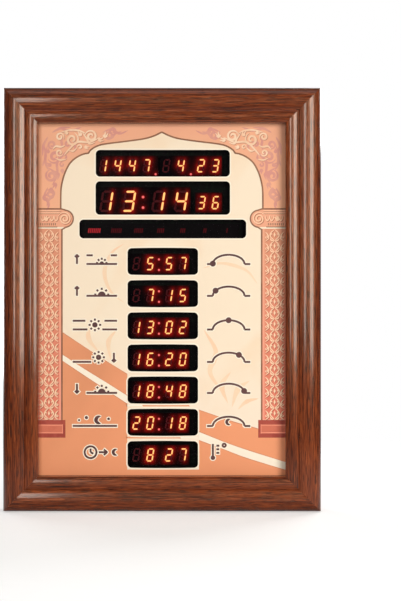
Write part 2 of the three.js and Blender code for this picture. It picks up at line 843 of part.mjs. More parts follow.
function makePowerSwitch() {
  const bodyBack = partsFront - powerDepth;
  const baseFront = bodyBack - clearance;
  const baseBack = baseFront - knobBaseDepth;
  const housing = slab(rectangle(powerWidth, powerHeight), bodyBack, partsFront);
  place("power_switch_body", housing, looks.blackPlastic, powerPlace, powerRise);
  const knob = join(
    slab(rectangle(knobBaseWidth, powerHeight), baseBack, baseFront),
    slab(rectangle(knobWidth, knobHeight), coverRecess - knobProud, baseFront),
  );
  place("power_switch_knob", knob, looks.buttonGrey, powerPlace, powerRise);
}

// Speaker basket: a rim behind the cover, a cone of wall and a floor ring under the magnet, with a solder tag
function makeSpeaker() {
  const rimBack = coverInside + clearance;
  const rollBack = rimBack + coneTravel;
  const rimFront = rollBack + conePaper + coneTravel + clearance;
  const inner = speakerRadius - basketRimWidth;
  const coilRadius = poleRadius + clearance;
  const grooveRadius = coilRadius + coilWall + clearance;
  const basket = turned([
    [inner, rimBack],
    [speakerRadius, rimBack],
    [speakerRadius, rimFront],
    [basketNeckRadius + basketWall, basketNeckDepth],
    [grooveRadius + clearance, basketNeckDepth],
    [grooveRadius + clearance, basketNeckDepth - basketWall],
    [basketNeckRadius, basketNeckDepth - basketWall],
    [inner, rimFront],
    [inner, rimBack],
  ]);
  const tagStart = speakerRadius - 2 * basketRimWidth;
  const tagEnd = speakerRadius + tagReach;
  const tagMiddle = -(tagStart + tagEnd) / 2;
  const tag = slab(rectangle(tagEnd - tagStart, tagWidth, tagMiddle, 0), tagDepth, tagDepth + basketWall);
  place("speaker_basket", join(basket, tag), looks.steel, speakerPlace, speakerRise);

  const magnetBack = basketNeckDepth + clearance;
  const magnetFront = magnetBack + magnetHeight;
  const magnet = turned([
    [0, magnetBack],
    [poleRadius, magnetBack],
    [poleRadius, magnetBack + coilGroove],
    [grooveRadius, magnetBack + coilGroove],
    [grooveRadius, magnetBack],
    [magnetRadius, magnetBack],
    [magnetRadius, magnetFront],
    [0, magnetFront],
  ]);
  place("speaker_magnet", magnet, looks.ferrite, speakerPlace, speakerRise);

  const rollRadius = inner - clearance;
  const coneNeck = basketNeckDepth - basketWall - coneTravel - clearance;
  const coilEnd = magnetBack + coneTravel / 2;
  const cone = turned([
    [0, coneNeck - conePaper],
    [coilRadius, coneNeck - conePaper],
    [rollRadius, rollBack],
    [rollRadius, rollBack + conePaper],
    [coilRadius + coilWall, coneNeck],
    [coilRadius + coilWall, coilEnd],
    [coilRadius, coilEnd],
    [coilRadius, coneNeck],
    [0, coneNeck],
  ]);
  place("speaker_cone", cone, looks.paperCone, speakerPlace, speakerRise);
}

// The speaker's lead, clipped flat behind the display board on its way from the control board
function makeSpeakerLead() {
  const start = controlPlace + controlWidth / 2;
  const landing = controlBack - clearance - leadRadius;
  const tagTip = speakerPlace - speakerRadius - tagReach;
  const climb = leadRunDepth;
  const tagMiddle = tagDepth + basketWall / 2;
  const drop = (tagTip - boardFootWidth / 2) / 2;
  const route = new THREE.CatmullRomCurve3([
    new THREE.Vector3(start - climb, -landing, 0),
    new THREE.Vector3(start, -landing, 0),
    new THREE.Vector3(start + climb, -leadRunDepth, 0),
    new THREE.Vector3(start + 2 * climb, -leadRunDepth, 0),
    new THREE.Vector3(0, -leadRunDepth, 0),
    new THREE.Vector3(tagTip - 3 * drop, -leadRunDepth, 0),
    new THREE.Vector3(tagTip - 2 * drop, -leadRunDepth, 0),
    new THREE.Vector3(tagTip - drop, -tagMiddle, 0),
    new THREE.Vector3(tagTip - clearance, -tagMiddle, 0),
  ]);
  const section = new THREE.Shape();
  section.absarc(0, 0, leadRadius, 0, 2 * Math.PI, false);
  const geometry = new THREE.ExtrudeGeometry(section, { ...faceted, steps: 40, extrudePath: route });
  place("speaker_lead", geometry, looks.blackFilm, 0, speakerRise);
}

// Hole centres on a hexagonal grid of rings
function grilleCentres() {
  const centres = [[0, 0]];
  for (let ring = 1; ring <= grilleRings; ring += 1) {
    const count = 6 * ring;
    for (let i = 0; i < count; i += 1) {
      const angle = (2 * Math.PI * i) / count;
      centres.push([ring * grillePitch * Math.cos(angle), ring * grillePitch * Math.sin(angle)]);
    }
  }
  return centres;
}

function screwPlaces() {
  const sideX = frameWidth / 2 - screwPlace;
  const endZ = frameHeight / 2 - screwPlace;
  return [
    ["cover_screw_top", 0, endZ],
    ["cover_screw_bottom", 0, -endZ],
    ["cover_screw_left_upper", -sideX, sideScrewRise],
    ["cover_screw_left_lower", -sideX, -sideScrewRise],
    ["cover_screw_right_upper", sideX, sideScrewRise],
    ["cover_screw_right_lower", sideX, -sideScrewRise],
  ];
}

// Posts that press the two boards forward
function coverPosts() {
  const headX = boardHeadWidth / 2 - displayPostInset;
  const footX = boardFootWidth / 2 - displayPostInset;
  const headRises = [boardTop - displayPostInset, boardShoulder + displayPostInset];
  const footRises = [0, boardBottom / 3, boardBottom + displayPostInset];
  const front = boardBack - clearance;
  const posts = [];
  for (const side of [-1, 1]) {
    headRises.forEach((z) => posts.push(peg(postRadius, coverRecess + overrun, front, side * headX, z)));
    footRises.forEach((z) => posts.push(peg(postRadius, coverRecess + overrun, front, side * footX, z)));
    for (const level of [-1, 1]) {
      const x = controlPlace + side * (controlWidth / 2 - postInset);
      const z = controlRise + level * (controlHeight / 2 - postInset);
      posts.push(peg(controlPostRadius, coverRecess + overrun, partsFront, x, z));
    }
  }
  return posts;
}

function makeRearCover() {
  const flangeWidth = frameWidth - 2 * (stepPlace + clearance);
  const flangeHeight = frameHeight - 2 * (stepPlace + clearance);
  const panel = slab(rectangle(flangeWidth, flangeHeight), coverRecess, coverInside);
  const rimShape = rectangle(trayWidth, trayHeight);
  rimShape.holes.push(rectangle(trayWidth - 2 * rimThickness, trayHeight - 2 * rimThickness));
  const rim = slab(rimShape, coverRecess + overrun, lensBack - clearance);
  const collarInner = speakerRadius + clearance;
  const collarOuter = collarInner + collarWall;
  const collarFront = coverInside + collarHeight;
  const collar = turned([
    [collarInner, coverRecess + overrun],
    [collarOuter, coverRecess + overrun],
    [collarOuter, collarFront],
    [collarInner, collarFront],
    [collarInner, coverRecess + overrun],
  ]);
  collar.translate(speakerPlace, 0, speakerRise);
  const wellBottom = -flangeHeight / 2;
  const wellHeight = wellTop - wellBottom;
  const wellMiddle = (wellTop + wellBottom) / 2;
  const wellShell = slab(
    rectangle(wellWidth + 2 * wellWall, wellHeight + wellWall - (flangeHeight - trayHeight) / 2,
      controlPlace, wellMiddle + wellWall / 2 + (flangeHeight - trayHeight) / 4),
    coverRecess + overrun, wellDepth + wellWall,
  );
  const wellHollow = slab(
    rectangle(wellWidth, wellHeight + overrun, controlPlace, wellMiddle - overrun / 2),
    coverRecess - overrun, wellDepth,
  );
  const jackMiddle = partsFront - jackDepth / 2;
  const plugRadius = jackBoreRadius + 2 * clearance;
  const plugHole = barrel(plugRadius, wellTop - overrun, wellTop + wellWall + overrun, jackMiddle);
  plugHole.translate(controlPlace, 0, 0);
  const through = [coverRecess - overrun, coverInside + overrun];
  const grille = grilleCentres().map(([x, z]) => {
    return peg(grilleHoleRadius, ...through, speakerPlace + x, speakerRise + z, 8);
  });
  const screwHoles = screwPlaces().map(([, x, z]) => peg(screwShankRadius + clearance, ...through, x, z, 8));
  const buttonHoles = buttonNames.map((_, index) => {
    return peg(buttonRadius + clearance, ...through, buttonsPlace, buttonRise(index), 16);
  });
  const slotWidth = knobWidth + knobTravel + 2 * clearance;
  const slotShape = rectangle(slotWidth, knobHeight + 2 * clearance, powerPlace - knobTravel / 2, powerRise);
  const knobSlot = slab(slotShape, ...through);
  const vents = [-1, 1].flatMap((side) => Array.from({ length: ventCount }, (_, i) => {
    const z = ventRise - i * ventPitch;
    return slab(rectangle(ventWidth, ventHeight, side * ventPlace, z), ...through);
  }));
  const solid = join(panel, rim, collar, wellShell, ...coverPosts());
  const openings = [wellHollow, plugHole, knobSlot, ...grille, ...screwHoles, ...buttonHoles, ...vents];
  place("rear_cover", cut(solid, ...openings), looks.blackPlastic);
}

// A pan-head screw whose head bears on a face at the given depth
function panScrew(face) {
  const sides = 12;
  const underHead = face - clearance;
  return turned([
    [0, underHead - screwHeadHeight],
    [screwHeadRadius * screwCrownShare, underHead - screwHeadHeight],
    [screwHeadRadius, underHead - screwHeadHeight / 2],
    [screwHeadRadius, underHead],
    [screwShankRadius, underHead],
    [screwShankRadius, face + screwLength - screwShankRadius],
    [0, face + screwLength],
  ], sides);
}

function makeScrews() {
  for (const [name, x, z] of screwPlaces()) {
    place(name, panScrew(coverRecess), looks.steel, x, z);
  }
  const hangerZ = frameHeight / 2 - hangerPlace;
  place("hanger_screw_left", panScrew(hangerRecess), looks.steel, -hangerScrewPlace, hangerZ);
  place("hanger_screw_right", panScrew(hangerRecess), looks.steel, hangerScrewPlace, hangerZ);
}

// A plate with a round hole that a nail's head passes and a slot above it that the nail slides into
function makeHanger() {
  const plate = slab(rectangle(hangerWidth, hangerHeight), hangerRecess, hangerRecess + hangerThickness);
  const through = [hangerRecess - overrun, hangerRecess + hangerThickness + overrun];
  const slotEnd = hookRise - keySlotWidth / 2;
  const slot = rectangle(keySlotWidth, slotEnd + keyholeDrop, 0, (slotEnd - keyholeDrop) / 2);
  const screwHoles = [-1, 1].map((side) => {
    return peg(screwShankRadius + clearance, ...through, side * hangerScrewPlace, 0);
  });
  const geometry = cut(
    plate,
    slab(slot, ...through),
    peg(keyholeRadius, ...through, 0, -keyholeDrop, 20),
    peg(keySlotWidth / 2, ...through, 0, slotEnd),
    ...screwHoles,
  );
  place("hanger_plate", geometry, looks.steel, 0, frameHeight / 2 - hangerPlace);
}

makeFrame();
makeCornerNails();
makeFaceSheet();
makeLens();
makeDisplays();
makeWeekdayStrip();
makeDisplayBoard();
makeControlBoard();
makeRibbonCable();
makeChips();
makeBackupCell();
makeJack();
makeReceiver();
makeTemperatureSensor();
makeButtons();
makePowerSwitch();
makeSpeaker();
makeSpeakerLead();
makeRearCover();
makeScrews();
makeHanger();

export default clock;
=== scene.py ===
"""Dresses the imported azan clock: wood-foil rails, a printed face, displays, hardware, stage and camera."""

from math import ceil, cos, pi, radians, sin, sqrt, tau

import bmesh
import bpy
import numpy as np
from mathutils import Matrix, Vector
from mathutils.geometry import delaunay_2d_cdt


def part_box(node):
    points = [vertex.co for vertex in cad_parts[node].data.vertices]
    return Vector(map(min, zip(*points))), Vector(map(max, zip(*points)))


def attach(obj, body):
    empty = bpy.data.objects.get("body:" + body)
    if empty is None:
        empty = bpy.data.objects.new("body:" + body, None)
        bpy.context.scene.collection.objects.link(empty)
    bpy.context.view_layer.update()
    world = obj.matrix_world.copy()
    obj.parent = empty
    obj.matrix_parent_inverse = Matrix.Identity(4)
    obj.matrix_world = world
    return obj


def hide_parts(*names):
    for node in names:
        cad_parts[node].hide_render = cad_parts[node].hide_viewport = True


bl_info = {
    "name": "Azan Clock Dressing",
    "version": (1, 0, 0),
    "blender": (4, 5, 0),
    "location": "View3D > Sidebar > Azan Clock",
    "description": "Adds the finished surfaces of a wall-hung azan clock to its packed frame",
    "category": "Object",
}

MM = 0.001
SHARP_EDGE = radians(32)


def mm(value):
    return value / MM


def node_place(node):
    """A node's middle across and above the clock's, and its back's and front's depths, in mm."""
    low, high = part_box(node)
    x, z = mm((low.x + high.x) / 2) - MIDDLE_X, mm((low.z + high.z) / 2) - MIDDLE_Z
    return x, z, mm(-high.y), mm(-low.y)


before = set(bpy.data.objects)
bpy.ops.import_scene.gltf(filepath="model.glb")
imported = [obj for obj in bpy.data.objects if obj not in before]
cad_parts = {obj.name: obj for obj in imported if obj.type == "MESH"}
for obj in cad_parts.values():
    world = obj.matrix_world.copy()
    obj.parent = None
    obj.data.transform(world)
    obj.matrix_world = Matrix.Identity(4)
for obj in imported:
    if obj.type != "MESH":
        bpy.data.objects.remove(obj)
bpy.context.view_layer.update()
CASE_LOW, CASE_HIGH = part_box("frame_left")[0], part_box("frame_right")[1]
MIDDLE_X = mm((CASE_LOW.x + CASE_HIGH.x) / 2)
MIDDLE_Z = mm((CASE_LOW.z + CASE_HIGH.z) / 2)
HALF_WIDTH, HALF_HEIGHT = mm(CASE_HIGH.x) - MIDDLE_X, mm(CASE_HIGH.z) - MIDDLE_Z
SHEET_FRONT = node_place("face_sheet")[3]
MODULE_FRONT = node_place("time_display")[3]


# Colours and shader maths


def ink(red, green, blue):
    """A colour written as sRGB bytes, turned into Blender's linear values."""
    channels = np.array([red, green, blue]) / 255
    linear = np.where(channels <= 0.04045, channels / 12.92, ((channels + 0.055) / 1.055) ** 2.4)
    return (*linear.tolist(), 1.0)


class Socket:
    """A shader output whose operators add Math nodes."""

    def __init__(self, tree, output):
        self.tree = tree
        self.output = output

    def node(self, kind, settings=None, inputs=None, output=0):
        """Adds a node of this type, sets its settings first, then its sockets' values or links."""
        made = self.tree.nodes.new(kind)
        for name, value in (settings or {}).items():
            if name == "stops":
                fill_ramp(made.color_ramp, value)
            else:
                setattr(made, name, value)
        for key, value in (inputs or {}).items():
            if isinstance(value, Socket):
                self.tree.links.new(value.output, made.inputs[key])
            else:
                made.inputs[key].default_value = value
        return Socket(self.tree, made.outputs[output])

    def maths(self, operation, *values):
        inputs = dict(enumerate(values))
        return self.node("ShaderNodeMath", {"operation": operation}, inputs)

    def __add__(self, other):
        return self.maths("ADD", self, other)

    def __radd__(self, other):
        return self.maths("ADD", other, self)

    def __sub__(self, other):
        return self.maths("SUBTRACT", self, other)

    def __rsub__(self, other):
        return self.maths("SUBTRACT", other, self)

    def __mul__(self, other):
        return self.maths("MULTIPLY", self, other)

    def __rmul__(self, other):
        return self.maths("MULTIPLY", other, self)

    def __truediv__(self, other):
        return self.maths("DIVIDE", self, other)

    def above(self, level, width):
        """0 below the level and 1 above it, with a smooth step of this width round it."""
        ends = {1: level - width / 2, 2: level + width / 2}
        return self.node("ShaderNodeMapRange", {"interpolation_type": "SMOOTHSTEP"}, {0: self, **ends})

    def ramp(self, *stops):
        """The colour at this value between stops of (place, colour)."""
        return self.node("ShaderNodeValToRGB", {"stops": stops}, {0: self})

    def mix(self, first, second):
        """The first colour where this value is 0 and the second where it is 1."""
        settings = {"data_type": "RGBA", "clamp_factor": True}
        return self.node("ShaderNodeMix", settings, {0: self, 6: first, 7: second}, output=2)

    def stretched(self, scale):
        """These coordinates scaled by three numbers."""
        return self.node("ShaderNodeMapping", {}, {0: self, 3: scale})

    def noise(self, scale, detail, roughness=0.55, distortion=0):
        inputs = {"Vector": self, "Scale": scale, "Detail": detail, "Roughness": roughness}
        inputs["Distortion"] = distortion
        return self.node("ShaderNodeTexNoise", {}, inputs)

    def axis(self, index):
        return self.node("ShaderNodeSeparateXYZ", {}, {0: self}, output=index)


def fill_ramp(color_ramp, stops):
    while len(color_ramp.elements) < len(stops):
        color_ramp.elements.new(1)
    for element, (place, color) in zip(color_ramp.elements, stops):
        element.position = place
        element.color = color


class Finish:
    """A material with one Principled shader, reading object places, a UV map or an attribute."""

    def __init__(self, name, **constants):
        self.material = bpy.data.materials.new(name)
        self.material.use_nodes = True
        self.tree = self.material.node_tree
        self.shader = self.tree.nodes["Principled BSDF"]
        for socket, value in constants.items():
            self.shader.inputs[socket.replace("_", " ")].default_value = value
        self.start = Socket(self.tree, None)

    def place(self):
        return self.start.node("ShaderNodeTexCoord", output="Object")

    def along(self):
        return self.start.node("ShaderNodeTexCoord", output="UV")

    def attribute(self, name):
        return self.start.node("ShaderNodeAttribute", {"attribute_name": name}, output="Fac")

    def feed(self, socket, value):
        self.tree.links.new(value.output, self.shader.inputs[socket])

    def bump(self, height, distance):
        """Raises the surface by the height times a distance in metres."""
        inputs = {"Strength": 1.0, "Distance": distance, "Height": height}
        self.feed("Normal", self.start.node("ShaderNodeBump", {}, inputs))


# Finishes

# Spots per metre along and across a rail, then the noise's detail, roughness and distortion
WOOD_GRAIN = {
    "figure": (9, 120, 4, 0.6, 0.7),
    "streaks": (38, 980, 3, 0.65, 0.4),
    "pores": (75, 1250, 2, 0.5),
    "bands": (7, 420, 2, 0.55, 1.2),
    "grooves": (9, 2300, 1, 0.5),
}
LACQUER = 0.66
PRINT_GLOSS = {"Roughness": 0.42, "Specular_IOR_Level": 0.3}


def wood_foil(colors):
    """Printed wood foil: dark pores and streaks along each rail over a broader figure, in fine grooves.

    The moulded face is lacquered, and the flat sides are left duller."""
    made = Finish("walnut_foil", Specular_IOR_Level=0.42, Coat_Roughness=0.1,
                  Specular_Tint=colors.wood_gloss)
    side = made.place().axis(1).above(-sizes().side_depth, 0.003)
    made.feed("Coat Weight", LACQUER * (1 - side))
    uv = made.along()
    figure, streaks, pores, bands, grooves = (
        uv.stretched((along, across, 1)).noise(1, *noise) for along, across, *noise in WOOD_GRAIN.values())
    tone = figure * 0.24 + streaks * 0.5 + bands * 0.26
    body = tone.ramp((0.4, colors.wood_dark), (0.475, colors.wood_middle), (0.55, colors.wood_light),
                     (0.64, colors.wood_glint))
    dark = pores.above(0.56, 0.1) * bands.above(0.42, 0.3)
    made.feed("Base Color", (dark * 0.75).mix(body, colors.wood_pore))
    made.feed("Roughness", 0.15 + tone * 0.04 + dark * 0.06 + side * 0.35)
    made.bump(grooves + tone * 0.15 - dark * 0.3, 0.00019)
    return made.material


def face_print(colors):
    """Cream stock, a little paler near its foot, with a cloudy peach wash and a fine paper-like mottle."""
    made = Finish("printed_face", **PRINT_GLOSS)
    place = made.place()
    base = place.axis(2).above(-0.3, 0.22).mix(colors.cream_low, colors.cream)
    wash = place.noise(11, 3, 0.5, 0.6).above(0.54, 0.16) * 0.55
    made.feed("Base Color", wash.mix(base, colors.peach_wash))
    made.bump(place.noise(2200, 2), 0.000008)
    return made.material


def print_ink(name, color, other, scale, band=0.2):
    """One printed colour that drifts softly into another of its kind."""
    made = Finish(name, **PRINT_GLOSS)
    drift = made.place().noise(scale, 3, 0.55, 0.5).above(0.5, band)
    made.feed("Base Color", drift.mix(color, other))
    return made.material


def faded_ink(name, top, bottom, low, high):
    """A printed colour that changes evenly between two heights, in metres, with a slight cloudiness."""
    made = Finish(name, **PRINT_GLOSS)
    place = made.place()
    cloud = (place.noise(26, 3, 0.5) - 0.5) * 0.35
    share = (place.axis(2) - low) / (high - low) + cloud
    made.feed("Base Color", share.mix(bottom, top))
    return made.material


def moulded_plastic(name, color, roughness, grain=1800.0, depth=0.00003):
    """Moulded plastic with a fine spark-eroded grain and slightly uneven gloss."""
    made = Finish(name, Roughness=roughness)
    place = made.place()
    speck, cloud = place.noise(grain, 2, 0.6), place.noise(24, 2)
    worn = tuple(min(1.0, c * 1.5 + 0.004) for c in color[:3]) + (1.0,)
    made.feed("Base Color", (cloud.above(0.55, 0.3) * 0.45).mix(color, worn))
    made.feed("Roughness", roughness - 0.06 + cloud * 0.12)
    made.bump(speck, depth)
    return made.material


def metal(name, color, roughness, scratch=(260.0, 9.0, 9.0)):
    """Plated steel with faint scratches drawn out along one direction."""
    made = Finish(name, Metallic=1.0, Roughness=roughness)
    place = made.place()
    marks, cloud = place.stretched(scratch).noise(6, 3, 0.6), place.noise(90, 3)
    dull = tuple(c * 0.78 for c in color[:3]) + (1.0,)
    made.feed("Base Color", (cloud.above(0.5, 0.4) * 0.8).mix(color, dull))
    made.feed("Roughness", roughness - 0.08 + marks * 0.2)
    made.bump(marks, 0.00001)
    return made.material


def circuit_board(color, trace):
    """Green solder mask over faint copper traces that run in two directions."""
    made = Finish("board_green", Roughness=0.35, Coat_Weight=0.4, Coat_Roughness=0.2)
    place = made.place()
    lines = place.stretched((330, 1, 30)).noise(1, 0).above(0.56, 0.02)
    cross = place.stretched((30, 1, 330)).noise(1, 0).above(0.6, 0.02)
    copper = lines.maths("MAXIMUM", lines, cross)
    made.feed("Base Color", copper.mix(color, trace))
    made.bump(copper, 0.00003)
    return made.material


def smoked_acrylic(alpha):
    """Dark tinted acrylic that dims what lies behind it."""
    made = Finish("smoked_acrylic", Roughness=0.12, Specular_IOR_Level=0.05, Alpha=alpha)
    made.feed("Base Color", made.place().noise(7, 2).mix(ink(3, 1, 3), ink(8, 4, 8)))
    return made.material


def light_box_plastic(white, black):
    """White plastic, blackened against stray light at the ends that the film in front leaves bare."""
    made = Finish("light_box_plastic", Roughness=0.45)
    low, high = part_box("weekday_stencil")
    away = made.place().axis(0) - (low.x + high.x) / 2
    ends = away.maths("ABSOLUTE", away).above((high.x - low.x) / 2 - 0.0003, 0.0003)
    made.feed("Base Color", ends.mix(white, black))
    return made.material


def lamp_glow(name, core, rim, strength):
    """A lit LED bar: warm and bright along its middle, red towards its rim."""
    made = Finish(name, Roughness=0.4, Emission_Strength=strength)
    edge = made.attribute("edge")
    made.feed("Emission Color", edge.mix(core, rim))
    made.feed("Base Color", edge.mix(ink(120, 40, 24), ink(70, 14, 12)))
    return made.material


def even_glow(name, color, strength):
    """A diffuser of one even colour, with a faint grain."""
    made = Finish(name, Roughness=0.5, Emission_Strength=strength)
    made.shader.inputs["Emission Color"].default_value = color
    made.feed("Base Color", made.place().noise(900, 2).mix(ink(90, 16, 18), ink(110, 24, 24)))
    return made.material


def halo_face(color, glow):
    """A display's black front, with red light spilling from its lit bars as the mesh's values say."""
    made = Finish("display_front", Roughness=0.35, Specular_IOR_Level=0.2, Emission_Strength=1.7)
    made.feed("Base Color", made.place().noise(500, 2).mix(color, ink(30, 12, 16)))
    made.feed("Emission Color", made.attribute("glow").mix(ink(0, 0, 0), glow))
    return made.material


# Meshes from arrays


def spot(x, z, depth):
    """Arrays of places across the face, in mm from its middle and from the wall, as points in metres."""
    x, z, depth = np.broadcast_arrays(x, z, depth)
    return np.stack([(x + MIDDLE_X) * MM, -depth * MM, (z + MIDDLE_Z) * MM], axis=-1)


def grid_faces(rows, columns, wrap_rows=False, wrap_columns=False):
    """Quads between the neighbours of a grid, numbered row by row."""
    down = np.arange(rows if wrap_rows else rows - 1)
    over = np.arange(columns if wrap_columns else columns - 1)
    r, c = np.meshgrid(down, over, indexing="ij")
    after_r, after_c = (r + 1) % rows, (c + 1) % columns
    here, below = r * columns, after_r * columns
    quads = np.stack([here + c, here + after_c, below + after_c, below + c])
    return quads.reshape(4, -1).T


class Shape:
    """Points and faces gathered from several surfaces, with optional UVs or a value at each point."""

    def __init__(self):
        self.points = []
        self.faces = []
        self.values = []
        self.uvs = []
        self.count = 0

    def add(self, points, faces, value=None, uv=None):
        points = np.asarray(points, float).reshape(-1, 3)
        self.points.append(points)
        for part in faces if isinstance(faces, list) else [faces]:
            self.faces.extend((np.asarray(part) + self.count).tolist())
        self.values.append(np.zeros(len(points)) if value is None else np.broadcast_to(value, len(points)))
        self.uvs.append(np.zeros((len(points), 2)) if uv is None else np.asarray(uv).reshape(-1, 2))
        self.count += len(points)
        return self


def linked(name, data):
    """An object in the scene that shows this data."""
    made = bpy.data.objects.new(name, data)
    bpy.context.scene.collection.objects.link(made)
    return made


def build(name, shape, material, body="clock", smooth=True, value="", uv=False, weld=False):
    """Puts a gathered shape into a named mesh that rides on a body; a weld joins points in one place."""
    mesh = bpy.data.meshes.new(name)
    points = np.concatenate(shape.points)
    mesh.from_pydata(points.tolist(), [], shape.faces)
    mesh.update()
    if uv:
        layer = mesh.uv_layers.new(name="UVMap")
        corners = np.empty(len(mesh.loops), int)
        mesh.loops.foreach_get("vertex_index", corners)
        layer.data.foreach_set("uv", np.concatenate(shape.uvs)[corners].ravel())
    if value:
        layer = mesh.attributes.new(value, "FLOAT", "POINT")
        layer.data.foreach_set("value", np.concatenate(shape.values))
    if weld:
        welder = bmesh.new()
        welder.from_mesh(mesh)
        bmesh.ops.remove_doubles(welder, verts=welder.verts, dist=1e-7)
        welder.to_mesh(mesh)
        welder.free()
    mesh.polygons.foreach_set("use_smooth", np.full(len(mesh.polygons), smooth))
    mesh.materials.append(material)
    made = linked(name, mesh)
    if smooth:
        mesh.set_sharp_from_angle(angle=SHARP_EDGE)
    if body:
        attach(made, body)
    return made


def resample(points, step):
    """The points of a polyline at even steps, by straight interpolation on its length."""
    points = np.asarray(points, float)
    lengths = np.concatenate([[0], np.cumsum(np.linalg.norm(np.diff(points, axis=0), axis=1))])
    count = max(2, ceil(lengths[-1] / step) + 1)
    at = np.linspace(0, lengths[-1], count)
    return np.stack([np.interp(at, lengths, points[:, i]) for i in range(points.shape[1])], axis=1)


def flowing(points, per_span=8):
    """A smooth curve through points: Catmull-Rom cubics, each span weighted by its four nearest points."""
    p = np.asarray(points, float)
    ends = np.concatenate([[2 * p[0] - p[1]], p, [2 * p[-1] - p[-2]]])
    t = np.linspace(0, 1, per_span, endpoint=False)[None, :, None]
    a, b, c, d = (ends[i:len(ends) - 3 + i, None, :] for i in range(4))
    curve = 0.5 * (2 * b + (c - a) * t + (2 * a - 5 * b + 4 * c - d) * t**2 + (3 * b - a - 3 * c + d) * t**3)
    return np.concatenate([curve.reshape(-1, p.shape[1]), p[-1:]])


def sideways(path):
    """The unit normals of a flat path, a quarter turn to the left of its direction."""
    along = np.gradient(path, axis=0)
    along /= np.maximum(np.linalg.norm(along, axis=1, keepdims=True), 1e-9)
    return np.stack([-along[:, 1], along[:, 0]], axis=1)


def stroke(shape, path, width, back, rise, taper=0.12, closed=False, lean=(0, 0)):
    """A raised line: across it the height is rise times the square root of 1 - u squared.

    The width is a number or several that are spread evenly along the path, and it tapers off with
    the square root of the distance from an end."""
    path = np.asarray(path, float) + np.asarray(lean)
    if closed:
        path = path[:-1]
        following, before = np.roll(path, -1, axis=0), np.roll(path, 1, axis=0)
        along = following - before
        along /= np.linalg.norm(along, axis=1, keepdims=True)
        normal = np.stack([-along[:, 1], along[:, 0]], axis=1)
    else:
        normal = sideways(path)
    share = np.linspace(0, 1, len(path))
    widths = np.interp(share, np.linspace(0, 1, np.size(width)), np.atleast_1d(width)) / 2
    if not closed and taper:
        widths = widths * np.sqrt(np.clip(np.minimum(share, 1 - share) / taper, 0.02, 1))
    across = np.array([-1, -0.75, 0, 0.75, 1])
    x = path[:, None, 0] + normal[:, None, 0] * across * widths[:, None]
    z = path[:, None, 1] + normal[:, None, 1] * across * widths[:, None]
    depth = back + rise * np.sqrt(1 - across**2)
    points = spot(x, z, depth)
    columns = len(across)
    faces = [grid_faces(len(path), columns, wrap_rows=closed, wrap_columns=True)[:, ::-1]]
    if not closed:
        last = (len(path) - 1) * columns
        faces += [[list(range(columns)), list(range(last, last + columns))[::-1]]]
    shape.add(points, faces)


def field(shape, near, far, back, front, closed=False):
    """A flat plate between two curves of as many points, with walls down to its back."""
    rim = np.array([near, far], float)
    count = rim.shape[1]
    below = 2 * count
    skin = grid_faces(2, count, wrap_columns=closed)
    edge = np.arange(count if closed else count - 1)
    after = (edge + 1) % count
    faces = [skin, skin[:, ::-1] + below,
             np.stack([edge, edge + below, after + below, after], axis=1),
             np.stack([edge, after, after + below, edge + below], axis=1) + count]
    if not closed:
        end = np.array([[0, count, count + below, below]])
        faces += [end, end[:, ::-1] + count - 1]
    step, reach = rim[0, 1] - rim[0, 0], rim[1, 0] - rim[0, 0]
    if step[0] * reach[1] - step[1] * reach[0] <= 0:
        faces = [part[:, ::-1] for part in faces]
    shape.add(np.stack([spot(rim[..., 0], rim[..., 1], depth) for depth in (front, back)]), faces)


def turned_piece(shape, profile, x, z, sides, dent=None):
    """A lathe surface: (radius, depth) points swept by an angle round an axis that points at the wall."""
    profile = np.asarray(profile, float)
    angle = np.linspace(0, tau, sides, endpoint=False)
    radius, depth = profile[:, None, 0], np.broadcast_to(profile[:, None, 1], (len(profile), sides)).copy()
    across, up = radius * np.cos(angle), radius * np.sin(angle)
    if dent is not None:
        depth = depth + dent(across, up)
    faces = grid_faces(len(profile), sides, wrap_columns=True)
    shape.add(spot(x + across, z + up, depth), [faces])


def around(x, z, radius, angle):
    """The points at these angles round a place."""
    return np.stack([x + radius * np.cos(angle), z + radius * np.sin(angle)], axis=1)


def circle(radius, x, z, count):
    """A closed ring of points, the first repeated at the end."""
    return around(x, z, radius, np.linspace(0, tau, count + 1))


def spiral(x, z, outer, inner, turns, start, hand, count=34):
    """A spiral whose radius falls from outer to inner, fastest at first, over its turns."""
    share = np.linspace(0, 1, count)
    radius = outer + (inner - outer) * share**0.85
    return around(x, z, radius, start + hand * tau * turns * share)


# Settings


def shade(name, color, description):
    """A colour that a user can change."""
    return bpy.props.FloatVectorProperty(
        name=name, description=description, subtype="COLOR", size=4, min=0, max=1, default=color)


def length(name, millimetres, description):
    """A length that a user can change, kept in metres."""
    return bpy.props.FloatProperty(
        name=name, description=description, subtype="DISTANCE", unit="LENGTH", default=millimetres * MM)


